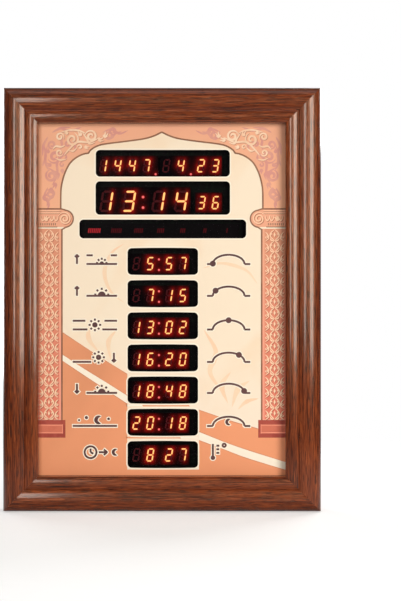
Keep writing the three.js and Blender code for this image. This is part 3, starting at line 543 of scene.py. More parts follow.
class ClockSizes(bpy.types.PropertyGroup):
    """Sizes of the moulding, the print and the lamps."""

    rail_width: length("Rail width", 33.5, "Width of a frame rail across its face")
    ridge_place: length("Ridge place", 11.8, "Distance of the outer ridge's crest from the frame's edge")
    ridge_radius: length("Ridge radius", 20, "Radius of the ridge towards the quirk")
    side_depth: length("Side depth", 26, "Depth of the frame's outer side below the ridge")
    quirk_place: length("Quirk place", 20.6, "Distance of the groove between ridge and bead from the edge")
    bead_place: length("Bead place", 27, "Distance of the bead's crest from the frame's edge")
    bead_radius: length("Bead radius", 11.6, "Radius of the inner bead")
    bead_depth: length("Bead depth", 35.2, "Depth of the bead's crest from the wall")
    lip_depth: length("Lip depth", 22, "Depth of the lip's back, which holds the face")
    rebate_place: length("Rebate place", 28, "Distance of the rebate's side from the frame's edge")
    step_place: length("Step place", 20.3, "Distance of the cover's step from the frame's edge")
    step_depth: length("Step depth", 4.3, "Depth of the step that the rear cover lies on")
    mitre_gap: length("Mitre gap", 0.08, "Open joint at each mitre")
    outline_width: length("Outline width", 1.5, "Width of the printed arch line")
    rim_width: length("Rim width", 1.3, "Width of the pale line round each window")
    label_width: length("Label stroke", 2.15, "Width of a label's dark strokes")
    label_rim: length("Label rim", 0.8, "Width of the white edge round a label's strokes")
    halo_reach: length("Halo reach", 1.5, "How far a lit bar's red light spreads")


class ClockColors(bpy.types.PropertyGroup):
    """Colours of the wood, the print and the lamps."""

    wood_dark: shade("Wood dark", ink(60, 19, 7), "Darkest tone of the wood's figure")
    wood_middle: shade("Wood middle", ink(106, 43, 16), "Middle tone of the wood's figure")
    wood_light: shade("Wood light", ink(134, 60, 25), "Lighter tone of the wood's figure")
    wood_glint: shade("Wood glint", ink(160, 80, 38), "Lightest tone of the wood's figure")
    wood_gloss: shade("Wood gloss", (1, 0.68, 0.46, 1), "Tint of the light that the foil throws back")
    wood_pore: shade("Wood pore", ink(34, 10, 4), "Colour of the wood's dark pores")
    cream: shade("Cream", ink(251, 234, 210), "Cream of the face inside the arch")
    cream_low: shade("Low cream", ink(253, 236, 218), "Cream of the face near its foot")
    peach_wash: shade("Peach wash", ink(250, 222, 190), "Soft wash over the cream")
    surround: shade("Surround", ink(249, 184, 145), "Salmon above the arch")
    surround_side: shade("Surround side", ink(238, 172, 140), "Salmon towards the corners")
    band: shade("Band", ink(222, 146, 104), "Orange of the lower bands")
    band_warm: shade("Warm band", ink(243, 160, 116), "Warmer orange of the lower bands")
    column: shade("Column", ink(224, 150, 118), "Ground of the columns at their head")
    column_low: shade("Low column", ink(232, 128, 104), "Ground of the columns at their foot")
    curl: shade("Curl", ink(253, 208, 174), "Pale curls on the columns")
    curl_shade: shade("Curl shade", ink(186, 106, 76), "Shade beside the curls")
    plinth: shade("Plinth", ink(206, 106, 82), "Panel of the columns' plinths")
    plinth_dark: shade("Dark plinth", ink(176, 76, 62), "Edges of the columns' plinths")
    outline: shade("Outline", ink(150, 104, 76), "Printed outline of arch and columns")
    label: shade("Label", ink(98, 62, 62), "Dark strokes of the labels")
    rim: shade("Rim", ink(255, 244, 226), "Pale edges of windows and labels")
    lamp_core: shade("Lamp core", ink(255, 196, 118), "Middle of a lit bar")
    lamp_rim: shade("Lamp rim", ink(226, 70, 28), "Edge of a lit bar")
    lamp_halo: shade("Lamp halo", ink(196, 26, 18), "Red light round a lit bar")
    lamp_dark: shade("Unlit bar", ink(226, 74, 88), "An unlit bar behind the smoked acrylic")
    point_core: shade("Point core", ink(255, 122, 118), "Middle of a lit point")
    # Unlit weekday marks still give off this colour as a dim painted glow
    dim_day_glow: shade("Dim day glow", ink(112, 24, 30), "A weekday mark that isn't lit")
    day_lit: shade("Lit day", ink(255, 62, 70), "The weekday mark that is lit")


def sizes():
    return bpy.context.scene.clock_sizes


def colors():
    return bpy.context.scene.clock_colors


# Places read off the photograph

# One pixel is PIXEL mm at the clock's face. Pixel places count right and down from the picture's corner
PIXEL = 0.9423
PHOTO_SIZE = (401, 601)
PICTURE_MIDDLE = (161.95, 299.55)
AXIS = 161.6
ARCH_TOP = [(161.6, 131.2), (153.7, 135), (143.8, 137.9), (127.2, 140.3), (106.5, 142.9), (97.4, 144.9),
            (90.7, 148.7), (87.8, 152.4)]
ARCH_SIDE = [(87.8, 152.4), (83.3, 153.2), (77.5, 155.7), (71.7, 159.9), (67.5, 165.3), (63.4, 174.4),
             (60.9, 184.3), (60.1, 192.6), (60, 208.2)]
SHAFT_LINE = [(61.2, 228.6), (61.2, 420.6)]
COLUMN_EDGE = 61
COLUMN_LEVELS = (228.4, 420.4)
FADE_LEVELS = (420, 228)
CAPITAL_LEVELS = (208.4, 226.6)
VOLUTE_EYE = (64, 218.3)
PALMETTE_PLACE = 46.5
PLINTH_SIDES = (64.7, 62.3)
PLINTH_LEVELS = (420.6, 424.9, 434.3, 438.4)
SPRAY_CORNER = (38.5, 123.2)
BAND_TOPS = ([(60, 331.5), (78, 343.5), (104, 360.5), (126.9, 374.6)],
             [(199, 410.6), (215, 416.2), (232, 422), (262, 430.6), (288, 439.2)])
STRIPE_EDGES = (([(60, 353.3), (82, 367.8), (106, 382.6), (126.9, 395.8)],
                 [(60, 360.3), (82, 375), (106, 390.8), (126.9, 404.6)]),
                ([(199, 432.2), (214, 438.2), (228.2, 443.8), (250.6, 451.5), (288, 463.2)],
                 [(199, 441.1), (212, 446), (225.3, 450.9), (247, 459.1), (288, 471.7)]))
THIN_STRIPES = ((406.1, 126.9, 143), (438.3, 181, 199))
THIN_BANDS = ((406.1, 143, 190), (438.3, 126.9, 181))
BAND_LINE_END = 260
BAND_CORNER_TOP = 438
PEACH_SPRAYS = (
    ((1, 5, 1), [(124, 243), (111, 253), (104, 272), (110, 291), (124, 303)]),
    ((1, 4, 1), [(203, 268), (222, 263), (246, 270), (258, 284)]),
    ((2, 7, 2), [(204, 330), (216, 352), (210, 372), (222, 392)]),
    ((1, 7, 1), [(228, 404), (222, 386), (231, 372)]),
    ((1, 7, 1), [(232, 408), (238, 390), (250, 381)]),
    ((1, 5, 1), [(238, 410), (247, 402), (259, 399)]),
    ((1, 6, 1), [(98, 352), (88, 338), (90, 320)]),
    ((1, 6, 1), [(110, 360), (108, 342), (116, 330)]),
)
LABEL_ROWS = (259.2, 291.2, 325, 357.6, 388.8, 422)
DIAL_NOTE, MOON_NOTE, HEAT_NOTE = (100.6, 453), (117.6, 453), (215.6, 452.6)

# Windows in mm, across and above the clock's middle: widths, heights and the middles' heights
WINDOW_SHIFT = 0.6
WINDOW_CORNER = 4
HEAD_WINDOWS = ((127, 25.3, 129.1), (127.3, 31.7, 96.2), (158, 17.8, 66.9))
ROW_WINDOW = (66.7, 25.9)
ROW_BOW = 0.35
ROW_COUNT = 7
FIRST_ROW, ROW_PITCH = 36.1, 30.48

# The print ends a little under the frame's lip
SIGHT_LEFT, SIGHT_FOOT, SIGHT_TOP = -116.5, -166.5, 166.5
UNDER_LIP = 1.5
PRINT_LEFT, PRINT_FOOT, PRINT_TOP = SIGHT_LEFT - UNDER_LIP, SIGHT_FOOT - UNDER_LIP, SIGHT_TOP + UNDER_LIP


def seen_x(pixel):
    return (pixel - PICTURE_MIDDLE[0]) * PIXEL


def seen_z(pixel):
    return (PICTURE_MIDDLE[1] - pixel) * PIXEL


def seen(points):
    """Photograph pixels as mm right of and above the clock's middle."""
    return (np.asarray(points, float) - PICTURE_MIDDLE) * (PIXEL, -PIXEL)


AXIS_MM = seen_x(AXIS)


def both_sides(points):
    """Points and the same places on the other side of the arch's axis."""
    points = np.asarray(points, float)
    return points, points * (-1, 1) + (2 * AXIS_MM, 0)


# Frame


def moulding_profile():
    """The rail's section as (inward, depth): its side, a quarter ellipse, an arc, a bead and the back.

    Each arc is (centre + r sin a, crest - r (1 - cos a))."""
    s = sizes()
    depth = mm(-CASE_LOW.y)

    def arc(centre, crest, across, deep, start, end, count):
        a = np.linspace(np.arcsin((start - centre) / across), np.arcsin((end - centre) / across), count)
        return np.stack([centre + across * np.sin(a), crest - deep * (1 - np.cos(a))], axis=1)

    ridge, quirk, bead = mm(s.ridge_place), mm(s.quirk_place), mm(s.bead_place)
    ridge_radius, bead_radius = mm(s.ridge_radius), mm(s.bead_radius)
    outer = arc(ridge, depth, ridge, depth - mm(s.side_depth), 0, ridge, 22)
    inner = arc(ridge, depth, ridge_radius, ridge_radius, ridge, quirk, 18)[1:]
    round_bead = arc(bead, mm(s.bead_depth), bead_radius, bead_radius, quirk, mm(s.rail_width), 26)
    width, lip, rebate, step = mm(s.rail_width), mm(s.lip_depth), mm(s.rebate_place), mm(s.step_place)
    side = np.stack([np.zeros(7), np.linspace(0, outer[0, 1], 8)[:-1]], axis=1)
    back = [(width, lip + 0.5), (width, lip), (rebate, lip), (rebate, mm(s.step_depth)),
            (step, mm(s.step_depth)), (step, 0.0)]
    return np.concatenate([side, outer, inner, round_bead, back])


# Cuts in the rails' backs, in mm; those that reach outside start OUTSIDE the back
OUTSIDE = -1
NAIL_INSET, NAIL_LEG, NAIL_HALF_WIDTH, NAIL_DEPTH = 16, 8.3, 0.7, 8.3
PILOT_RADIUS, PILOT_SIDES, PILOT_START, PILOT_SPARE = 1.7, 8, 1.0, 0.3
PLATE_POCKET, POCKET_DEPTH = (44.6, 16.6), 3.1
SCREW_ROOM, ROOM_START, ROOM_DEPTH = (12, 13.6), 0.5, 8
CORD_NOTCH, NOTCH_MIDDLE, NOTCH_DEPTH, JACK_HALF_WIDTH = (8, 30), 14, 7, 4.5
RAIL_STEPS = 40


def slab_piece(points, back, front):
    """A closed prism between two depths over a flat outline, as an object for cutting."""
    points = np.asarray(points, float)
    following = np.roll(points, -1, axis=0)
    if (points[:, 0] * following[:, 1] - points[:, 1] * following[:, 0]).sum() < 0:
        points = points[::-1]
    count = len(points)
    ring = np.arange(count)
    after = (ring + 1) % count
    walls = np.stack([ring, after, after + count, ring + count], axis=1)
    both = np.concatenate([spot(points[:, 0], points[:, 1], depth) for depth in (back, front)])
    return Shape().add(both, [walls, [ring[::-1].tolist()], [(ring + count).tolist()]])


def box_outline(width, height, x, z):
    return [(x - width / 2, z - height / 2), (x + width / 2, z - height / 2),
            (x + width / 2, z + height / 2), (x - width / 2, z + height / 2)]


def cut_away(piece, cutters):
    """Subtracts closed shapes from a piece and keeps the result in its own mesh."""
    tools = []
    for shape in cutters:
        tool = build("cutter", shape, piece.data.materials[0], body="", smooth=False)
        tools.append(tool)
        modifier = piece.modifiers.new("cut", "BOOLEAN")
        modifier.object = tool
        modifier.solver = "EXACT"
    bpy.context.view_layer.update()
    done = bpy.data.meshes.new_from_object(piece.evaluated_get(bpy.context.evaluated_depsgraph_get()))
    piece.modifiers.clear()
    piece.data = done
    done.set_sharp_from_angle(angle=SHARP_EDGE)
    for tool in tools:
        bpy.data.objects.remove(tool)


def make_rail(node, half_length, half_across, turn, offset, cutters):
    """A rail swept along x with mitred ends, then turned in quarter turns round the clock's middle.

    The offset moves its grain, so that no two rails look alike."""
    profile = moulding_profile()
    profile = np.concatenate([profile, profile[:1]])
    share = np.linspace(-1, 1, RAIL_STEPS)
    gap = mm(sizes().mitre_gap) / sqrt(2)
    along = share[:, None] * (half_length - profile[None, :, 0] - gap)
    up = np.broadcast_to(profile[None, :, 0] - half_across, along.shape)
    depth = np.broadcast_to(profile[None, :, 1], along.shape)
    x = along * round(cos(turn)) - up * round(sin(turn))
    z = along * round(sin(turn)) + up * round(cos(turn))
    count = len(profile)
    girth = np.concatenate([[0], np.cumsum(np.linalg.norm(np.diff(profile, axis=0), axis=1))])
    uv = np.stack([along * MM + offset, np.broadcast_to(girth * MM + offset * 3, along.shape)], axis=-1)
    last = (RAIL_STEPS - 1) * count
    ends = [list(range(count - 1)), list(range(last, last + count - 1))[::-1]]
    shape = Shape().add(spot(x, z, depth), [grid_faces(RAIL_STEPS, count)[:, ::-1], ends], uv=uv)
    name = node.replace("frame", "rail")
    rail = build(name, shape, finish("walnut_foil"), uv=True, weld=True)
    cut_away(rail, cutters)
    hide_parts(node)


def nail_slot(across, upward):
    """The L-shaped slot that a corner nail lies in, whose legs point outwards from its inner corner."""
    x, z = across * (HALF_WIDTH - NAIL_INSET), upward * (HALF_HEIGHT - NAIL_INSET)
    leg, half = NAIL_LEG, NAIL_HALF_WIDTH
    shape = [(-half, -half), (leg, -half), (leg, half), (half, half), (half, leg), (-half, leg)]
    return slab_piece([(x + across * a, z + upward * b) for a, b in shape], OUTSIDE, NAIL_DEPTH)


def pilot_holes(node_start):
    """A hole round each screw of this kind, wider than its shank and a little deeper than its tip."""
    holes = {}
    for node in sorted(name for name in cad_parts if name.startswith(node_start)):
        x, z, _, tip = node_place(node)
        outline = circle(PILOT_RADIUS, x, z, PILOT_SIDES)[:-1]
        holes[node] = slab_piece(outline, PILOT_START, tip + PILOT_SPARE)
    return holes


def make_frame():
    """Four rails, each cut where it holds nails, screws, the hanger plate or the cord."""
    slots = {(a, b): nail_slot(a, b) for a in (-1, 1) for b in (-1, 1)}
    plate_z = node_place("hanger_plate")[1]
    pocket = slab_piece(box_outline(*PLATE_POCKET, 0, plate_z), OUTSIDE, POCKET_DEPTH)
    room = slab_piece(box_outline(*SCREW_ROOM, 0, plate_z), ROOM_START, ROOM_DEPTH)
    notch_x, notch_z = mm(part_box("dc_jack")[0].x) + JACK_HALF_WIDTH, NOTCH_MIDDLE - HALF_HEIGHT
    notch = slab_piece(box_outline(*CORD_NOTCH, notch_x, notch_z), OUTSIDE, NOTCH_DEPTH)
    pilots = pilot_holes("cover_screw")
    bottom = [slots[-1, -1], slots[1, -1], notch, pilots["cover_screw_bottom"]]
    top = [slots[-1, 1], slots[1, 1], pocket, room, pilots["cover_screw_top"]]
    top += pilot_holes("hanger_screw").values()
    left = [slots[-1, -1], slots[-1, 1], pilots["cover_screw_left_upper"], pilots["cover_screw_left_lower"]]
    right = [slots[1, -1], slots[1, 1], pilots["cover_screw_right_upper"], pilots["cover_screw_right_lower"]]
    make_rail("frame_bottom", HALF_WIDTH, HALF_HEIGHT, 0, 0.0, bottom)
    make_rail("frame_top", HALF_WIDTH, HALF_HEIGHT, pi, 0.71, top)
    make_rail("frame_left", HALF_HEIGHT, HALF_WIDTH, -pi / 2, 1.43, left)
    make_rail("frame_right", HALF_HEIGHT, HALF_WIDTH, pi / 2, 2.19, right)


# Printed face

# Depths of each ink's back and front, or of its back alone where a line is raised from it
FIELD = (SHEET_FRONT - 0.01, SHEET_FRONT + 0.02)
STRIPE = (FIELD[1], SHEET_FRONT + 0.035)
SHADE, LINE = STRIPE[1], SHEET_FRONT + 0.045
INK_RISE = 0.03
LOW_RISE, CURL_RISE = INK_RISE * 0.5, INK_RISE * 1.6
SHADE_LEAN, SHADE_SPREAD = (0.55, -0.5), 1.15


def rounded_window(width, height, z, bow, spare):
    """A window's outline: corner arcs joined by sides, the long ones bowed outwards by a parabola."""
    half, tall = width / 2 - WINDOW_CORNER, height / 2 - bow - WINDOW_CORNER
    turns = np.linspace(0, pi / 2, 10)
    loop = []
    for quarter, (cx, cz) in enumerate([(1, 1), (-1, 1), (-1, -1), (1, -1)]):
        loop.append(around(cx * half, cz * tall, WINDOW_CORNER + spare, turns + quarter * pi / 2))
        if quarter in (0, 2):
            along = np.linspace(cx * half, -cx * half, 16)[1:-1]
            loop.append(np.stack([along, np.full(14, cz * (tall + WINDOW_CORNER + spare))], axis=1))
    loop = np.concatenate(loop)
    bulge = bow * (1 - np.clip(loop[:, 0] / half, -1, 1) ** 2)
    loop[:, 1] += np.sign(loop[:, 1]) * bulge * (np.abs(loop[:, 1]) > tall)
    return loop + (WINDOW_SHIFT, z)


def window_list():
    """Each window's width, height, middle height and bow."""
    rows = [(*ROW_WINDOW, FIRST_ROW - row * ROW_PITCH, ROW_BOW) for row in range(ROW_COUNT)]
    return [(*window, 0.0) for window in HEAD_WINDOWS] + rows


def inside(points, loop):
    """True for the points that a closed outline goes round, by counting its crossings of a ray."""
    x, z = points[:, None, 0], points[:, None, 1]
    a, b = loop[None], np.roll(loop, -1, axis=0)[None]
    spans = (a[..., 1] > z) != (b[..., 1] > z)
    reach = a[..., 0] + (z - a[..., 1]) * (b[..., 0] - a[..., 0]) / np.where(spans, b[..., 1] - a[..., 1], 1)
    return (spans & (x < reach)).sum(axis=1) % 2 == 1


def make_sheet():
    """The face sheet: a flat triangulation of its outline less the windows, with walls to its back."""
    low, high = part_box("face_sheet")
    loops = [np.array(box_outline(mm(high.x - low.x), mm(high.z - low.z), 0, 0))[::-1]]
    loops += [rounded_window(*window, spare=0) for window in window_list()]
    starts = np.cumsum([0] + [len(loop) for loop in loops])
    edges = np.concatenate([
        np.stack([np.arange(len(loop)), (np.arange(len(loop)) + 1) % len(loop)], axis=1) + start
        for loop, start in zip(loops, starts)])
    points = [Vector(point) for point in np.concatenate(loops)]
    flat, _, faces, sources, _, _ = delaunay_2d_cdt(points, edges.tolist(), [], 1, 1e-7)
    flat, faces = np.array([tuple(p) for p in flat]), np.array(faces)
    numbers = {source: index for index, group in enumerate(sources) for source in group}
    edges = np.vectorize(numbers.get)(edges)
    centres = flat[faces].mean(axis=1)
    kept = faces[~np.any([inside(centres, loop) for loop in loops[1:]], axis=0)]
    count = len(flat)
    both = np.concatenate([spot(flat[:, 0], flat[:, 1], depth) for depth in (SHEET_FRONT, mm(-high.y))])
    walls = np.concatenate([edges, edges[:, ::-1] + count], axis=1)
    shape = Shape().add(both, [kept, kept[:, ::-1] + count, walls])
    sheet = build("printed_sheet", shape, finish("printed_face"), smooth=False)
    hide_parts("face_sheet")


def printed(name, shape, material, smooth=False):
    return build(name, shape, finish(material), smooth=smooth)


def even_lines(shape, path, width):
    """A raised line of even width, and its like on the other side of the arch."""
    for side in both_sides(path):
        stroke(shape, side, width, LINE, INK_RISE, taper=0)


def soft_lines(shape, path, width):
    """A low line that thins towards its ends, and its like on the other side of the arch."""
    for side in both_sides(path):
        stroke(shape, side, width, SHADE, LOW_RISE)


def curl_pair(light, dark, path, width):
    """A pale raised line over a darker one set off down and to the right, on both sides of the arch."""
    for side in both_sides(path):
        stroke(dark, side, np.asarray(width) * SHADE_SPREAD, SHADE, LOW_RISE, lean=SHADE_LEAN)
        stroke(light, side, width, LINE, CURL_RISE)


def upright_fields(shape, left, right, foot, head, back, front):
    """A rectangle and its like on the other side of the arch."""
    lower, upper = both_sides([(left, foot), (right, foot)]), both_sides([(left, head), (right, head)])
    for near, far in zip(lower, upper):
        field(shape, near, far, back, front)


def print_surround():
    """Salmon between the arch and the frame's lip."""
    surround = Shape()
    side, crown = (resample(flowing(seen(part)), 1.2) for part in (ARCH_SIDE, ARCH_TOP))
    corner, foot = (PRINT_LEFT, PRINT_TOP), (PRINT_LEFT, side[-1, 1])
    for points, start, end in ((side, corner, foot), (crown, (AXIS_MM, PRINT_TOP), corner)):
        for near, far in zip(both_sides(points), both_sides(np.linspace(start, end, len(points)))):
            field(surround, near, far, *FIELD)
    printed("arch_surround", surround, "surround_ink")


def print_sprays():
    washes = Shape()
    for width, path in PEACH_SPRAYS:
        stroke(washes, flowing(seen(path)), width, FIELD[0], 0.02)
    printed("peach_sprays", washes, "wash_ink", smooth=True)


def resample_like(curve, other):
    """A curve's points at the same x as another curve's."""
    return np.stack([other[:, 0], np.interp(other[:, 0], curve[:, 0], curve[:, 1])], axis=1)


def print_bands():
    """Orange below a slanting edge, parted by a pale stripe, beside and between the row windows."""
    bands, stripes, edges = Shape(), Shape(), Shape()
    tops = [flowing(seen(points)) for points in BAND_TOPS]
    for upper, pair in zip(tops, STRIPE_EDGES):
        above, below = (resample_like(flowing(seen(points)), upper) for points in pair)
        floor = np.stack([upper[:, 0], np.full(len(upper), PRINT_FOOT)], axis=1)
        field(bands, above, upper, *FIELD)
        field(bands, floor, below, *FIELD)
        field(stripes, below, above, *FIELD)
        for curve in (upper[upper[:, 0] < seen_x(BAND_LINE_END)], above, below):
            stroke(edges, curve, 0.7, LINE, LOW_RISE, taper=0)
    last_rim = FIRST_ROW - (ROW_COUNT - 1) * ROW_PITCH - ROW_WINDOW[1] / 2 - mm(sizes().rim_width)
    below_windows = (tops[0][-1, 0], tops[1][0, 0], last_rim)
    below_plinth = (PRINT_LEFT, tops[0][0, 0], seen_z(BAND_CORNER_TOP))
    for start, end, top in (below_windows, below_plinth):
        field(bands, [(start, PRINT_FOOT), (end, PRINT_FOOT)], [(start, top), (end, top)], *FIELD)
    half_gap, lean = 0.8, 1.5
    thin = [(stripes, *place) for place in THIN_STRIPES] + [(bands, *place) for place in THIN_BANDS]
    for shape, y, first, final in thin:
        ends, z = np.array([seen_x(first), seen_x(final)]), seen_z(y)
        near = np.stack([ends, np.full(2, z - half_gap)], axis=1)
        far = np.stack([ends - lean, np.full(2, z + half_gap)], axis=1)
        field(shape, near, far, *FIELD)
    printed("orange_bands", bands, "band_ink")
    printed("pale_stripes", stripes, "rim_ink")
    printed("band_edges", edges, "band_edge_ink", smooth=True)


def make_rims():
    rims = Shape()
    width = mm(sizes().rim_width)
    for window in window_list():
        inner, outer = rounded_window(*window, spare=0.02), rounded_window(*window, spare=width)
        field(rims, inner, outer, *STRIPE, closed=True)
    printed("window_rims", rims, "rim_ink")


def make_outlines():
    lines = Shape()
    width = mm(sizes().outline_width)
    even_lines(lines, np.concatenate([resample(flowing(seen(part)), 0.8)[::-1]
                                      for part in (ARCH_SIDE, ARCH_TOP)]), width)
    even_lines(lines, resample(seen(SHAFT_LINE), 4), width)
    printed("arch_outline", lines, "outline_ink", smooth=True)


LEAF_FAN = ((-0.55, 0.8), (0.0, 1.0), (0.55, 0.8))
LEAF_BEND, BEND_TURN = 0.55, 0.5


def leaf_strokes(x, z, angle, reach):
    """Three short curved strokes that fan out from a point."""
    for turn, size in LEAF_FAN:
        heading = angle + turn
        side = heading + BEND_TURN
        end = (x + size * reach * cos(heading), z + size * reach * sin(heading))
        bend = (x + size * reach * LEAF_BEND * cos(side), z + size * reach * LEAF_BEND * sin(side))
        yield flowing([(x, z), bend, end], 5)


# A column's lace. Places are shares of half the column's width and of one repeat
LACE_PITCH = 10.4
LACE_BUD = (0.3, 0.52, 0.76)
LACE_STRAND = 0.46
LACE_SPRIGS = (
    ([(0.97, -0.08), (0.62, 0.2), (0.72, 0.56), (0.97, 0.78)], 4, (0.6, 1.3, 0.6)),
    ([(0.06, 0), (0.32, 0.02), (0.5, 0.24)], 4, (0.6, 1.5, 0.4)),
    ([(0.46, 0.5), (0.3, 0.62), (0.26, 0.42)], 3, (0.9, 0.9, 0.4)),
)
LACE_CURL = (0.85, 0.3, 0.15, 0.04)
LACE_BARB = [(0.7, 0.86), (0.92, 0.98)]


def lace_paths(x, foot, head, half):
    """A column's lace: two strands that cross at each repeat, a bud in each eye, scales and curls.

    A strand's distance from the middle is its reach times the sine of half a turn over one repeat."""
    repeats = round((head - foot) / LACE_PITCH)
    pitch = (head - foot) / repeats
    rise = np.linspace(0, 1, 11)
    curl_across, curl_up, outer, inner = LACE_CURL
    for index in range(repeats):
        base = foot + index * pitch
        yield [(x, base + share * pitch) for share in LACE_BUD], (0.5, 2.1, 0.4)
        for hand in (1, -1):
            size = np.array([hand * half, pitch])
            sway = hand * LACE_STRAND * half * np.sin(pi * rise)
            yield np.stack([x + sway, base + rise * pitch], axis=1), (0.8, 1.25, 0.8)
            for shares, spans, width in LACE_SPRIGS:
                yield flowing((x, base) + np.array(shares) * size, spans), width
            curl_x, curl_z = x + hand * curl_across * half, base + curl_up * pitch
            yield spiral(curl_x, curl_z, outer * half, inner * half, 1.1, pi / 2, hand, 10), 0.8
            yield (x, base) + np.array(LACE_BARB) * size, (0.5, 1.0, 0.5)


def make_columns():
    edge = seen_x(COLUMN_EDGE)
    head, foot = (seen_z(level) for level in COLUMN_LEVELS)
    margin_width, seam, gap = 2.6, 2.8, 0.6
    ground, margin = Shape(), Shape()
    upright_fields(ground, PRINT_LEFT, edge, foot, head, *FIELD)
    upright_fields(margin, edge - margin_width, edge, foot, head, FIELD[1], SHADE)
    printed("column_ground", ground, "column_ink")
    printed("column_margin", margin, "margin_ink")
    light, dark = Shape(), Shape()
    middle, half = (SIGHT_LEFT + edge - seam) / 2, (edge - seam - SIGHT_LEFT) / 2
    for path, width in lace_paths(middle, foot + gap, head - gap, half):
        curl_pair(light, dark, path, width)
    printed("column_curls", light, "curl_ink", smooth=True)
    printed("column_shades", dark, "curl_shade_ink", smooth=True)


VOLUTE_RADIUS = 8.1
DENTIL_COUNT, DENTIL_INSET, DENTIL_PITCH = 9, 1.2, 1.75
EGG_OUTLINE = ((-1.8, 6.2), (-1.5, 9.4), (0, 11), (1.5, 9.4), (1.8, 6.2))
EGG_PLACES = (-4.3, 4.3, 8.4)
PALMETTE_DROP, PALMETTE_REACH = 11.4, 5.2


def capital_outlines(lines, eye, rim, top, foot):
    """The capital's edge round its volute, a line along its foot and a row of dentils over that line."""
    edge = [[(PRINT_LEFT, top)], [(eye[0] - 3, top)], rim[::-1][1:-1], [(eye[0] - 2.2, foot - 2.2)]]
    even_lines(lines, resample(np.concatenate(edge), 0.8), 1.3)
    even_lines(lines, resample([(PRINT_LEFT, foot), (eye[0] - 7, foot)], 1.5), 0.8)
    for dentil in range(DENTIL_COUNT):
        x = SIGHT_LEFT + DENTIL_INSET + dentil * DENTIL_PITCH
        even_lines(lines, [(x, foot + rise) for rise in (1.5, 2.6, 3.7)], 0.7)


def capital_curls(eye, top):
    """The volute's spiral, two lines along the abacus, a palmette, and eggs with a short line in each."""
    yield spiral(*eye, 6.6, 1.1, 2.1, 0.9 * pi, -1, 60), (1.1, 1.3, 1.6)
    for fall in (1.9, 3.9):
        yield resample([(PRINT_LEFT, top - fall), (eye[0] - 3.4, top - fall)], 1.5), 0.9
    x = seen_x(PALMETTE_PLACE)
    for path in leaf_strokes(x, top - PALMETTE_DROP, pi / 2, PALMETTE_REACH):
        yield path, (0.9, 1.9, 0.5)
    for place in EGG_PLACES:
        hand = np.sign(place)
        egg = [(x + place + hand * across, top - fall) for across, fall in EGG_OUTLINE]
        yield flowing(egg, 5), (0.6, 1.2, 0.6)
        yield [(x + place, top - fall) for fall in (6.6, 9.3)], (1.3, 0.7)


def make_capitals():
    """Each capital: an abacus, a row of eggs, dentils and a volute that reaches beyond the shaft."""
    ground, light, dark, lines = Shape(), Shape(), Shape(), Shape()
    top, foot = (seen_z(level) for level in CAPITAL_LEVELS)
    eye = seen([VOLUTE_EYE])[0]
    rim = around(*eye, VOLUTE_RADIUS, np.linspace(-pi / 2, pi / 2, 25))
    spine = np.stack([np.full(len(rim), eye[0] - 1), rim[:, 1]], axis=1)
    back, front = FIELD
    upright_fields(ground, PRINT_LEFT, eye[0], foot, top, back, front + 0.002)
    for near, far in zip(both_sides(spine), both_sides(rim)):
        field(ground, near, far, back, front + 0.004)
    capital_outlines(lines, eye, rim, top, foot)
    for path, width in capital_curls(eye, top):
        curl_pair(light, dark, path, width)
    printed("capital_ground", ground, "margin_ink")
    printed("capital_lights", light, "curl_ink", smooth=True)
    printed("capital_shades", dark, "curl_shade_ink", smooth=True)
    printed("capital_lines", lines, "outline_ink", smooth=True)


def make_plinths():
    dark, panel, light = Shape(), Shape(), Shape()
    outer, inner = (seen_x(side) for side in PLINTH_SIDES)
    top, high, low, foot = (seen_z(level) for level in PLINTH_LEVELS)
    upright_fields(dark, PRINT_LEFT, outer, foot, top, FIELD[0], STRIPE[1])
    upright_fields(panel, PRINT_LEFT, inner, low, high, STRIPE[1], LINE)
    light_end = inner - 0.4
    for z in (high - 1.0, low + 0.9):
        even_lines(light, resample([(PRINT_LEFT, z), (light_end, z)], 2), 0.9)
    even_lines(light, resample([(light_end, low), (light_end, high)], 2), 0.7)
    printed("plinth_edges", dark, "plinth_dark_ink")
    printed("plinth_panels", panel, "plinth_ink")
    printed("plinth_lights", light, "plinth_light_ink", smooth=True)


# A corner spray. Places are mm right of and below the corner
SPRAY_CURVES = (
    ([(23, 30), (28, 24), (36, 17), (48, 17), (58, 12)], 9, (1.0, 2.1, 0.9)),
    ([(20, 7.8), (29, 5.6), (38, 6.2), (44, 9)], 7, (0.7, 1.9, 0.8)),
    ([(41, 8), (45, 14), (47.5, 18.6), (53, 17)], 7, (0.8, 2.0, 0.6)),
    ([(24.5, 20), (20.5, 21.5), (15.5, 21), (12.5, 24)], 7, (0.7, 2.0, 0.6)),
    ([(15, 32), (20, 34), (26, 33)], 7, (0.6, 1.7, 0.6)),
    ([(28, 25), (32, 25.4), (35.6, 22.4)], 6, (0.6, 1.7, 0.8)),
)
SPRAY_SPIRALS = (
    ((49, 11.4, 6.1, 1.4, 1.5, pi, 1), (1.2, 2.4, 1.6)),
    ((31, 14.5, 6.6, 1.4, 1.5, -0.4 * pi, 1, 44), (1.2, 2.3, 1.5)),
    ((19.5, 12, 4.2, 1.2, 1.3, 0.2 * pi, -1), (1.0, 1.9, 1.2)),
    ((19, 27, 3.6, 1.1, 1.2, 0.1 * pi, 1), (0.9, 1.7, 1.1)),
    ((38.3, 21.6, 2.5, 0.8, 1.0, 0.9 * pi, 1), (0.8, 1.5, 1.0)),
)
SPRAY_LEAVES = ((37, 11, -1.2, 5.5), (56, 13, 0.4, 6), (26, 10, -2.2, 4.5), (44, 20, 1.0, 4.5),
                (60, 11, -0.5, 6))
FAINT_CURVES = ([(60, 11), (66, 14), (72, 9), (78, 7)], [(3, 40), (6, 30), (4, 18)],
                [(8, 60), (5, 68), (9, 76), (6, 84)], [(12, 8), (20, 4), (30, 3)])
FAINT_SPIRALS = ((67, 10, 4.2, 1, 1.2, 0, 1), (6.5, 70, 4, 1, 1.3, 1, -1))


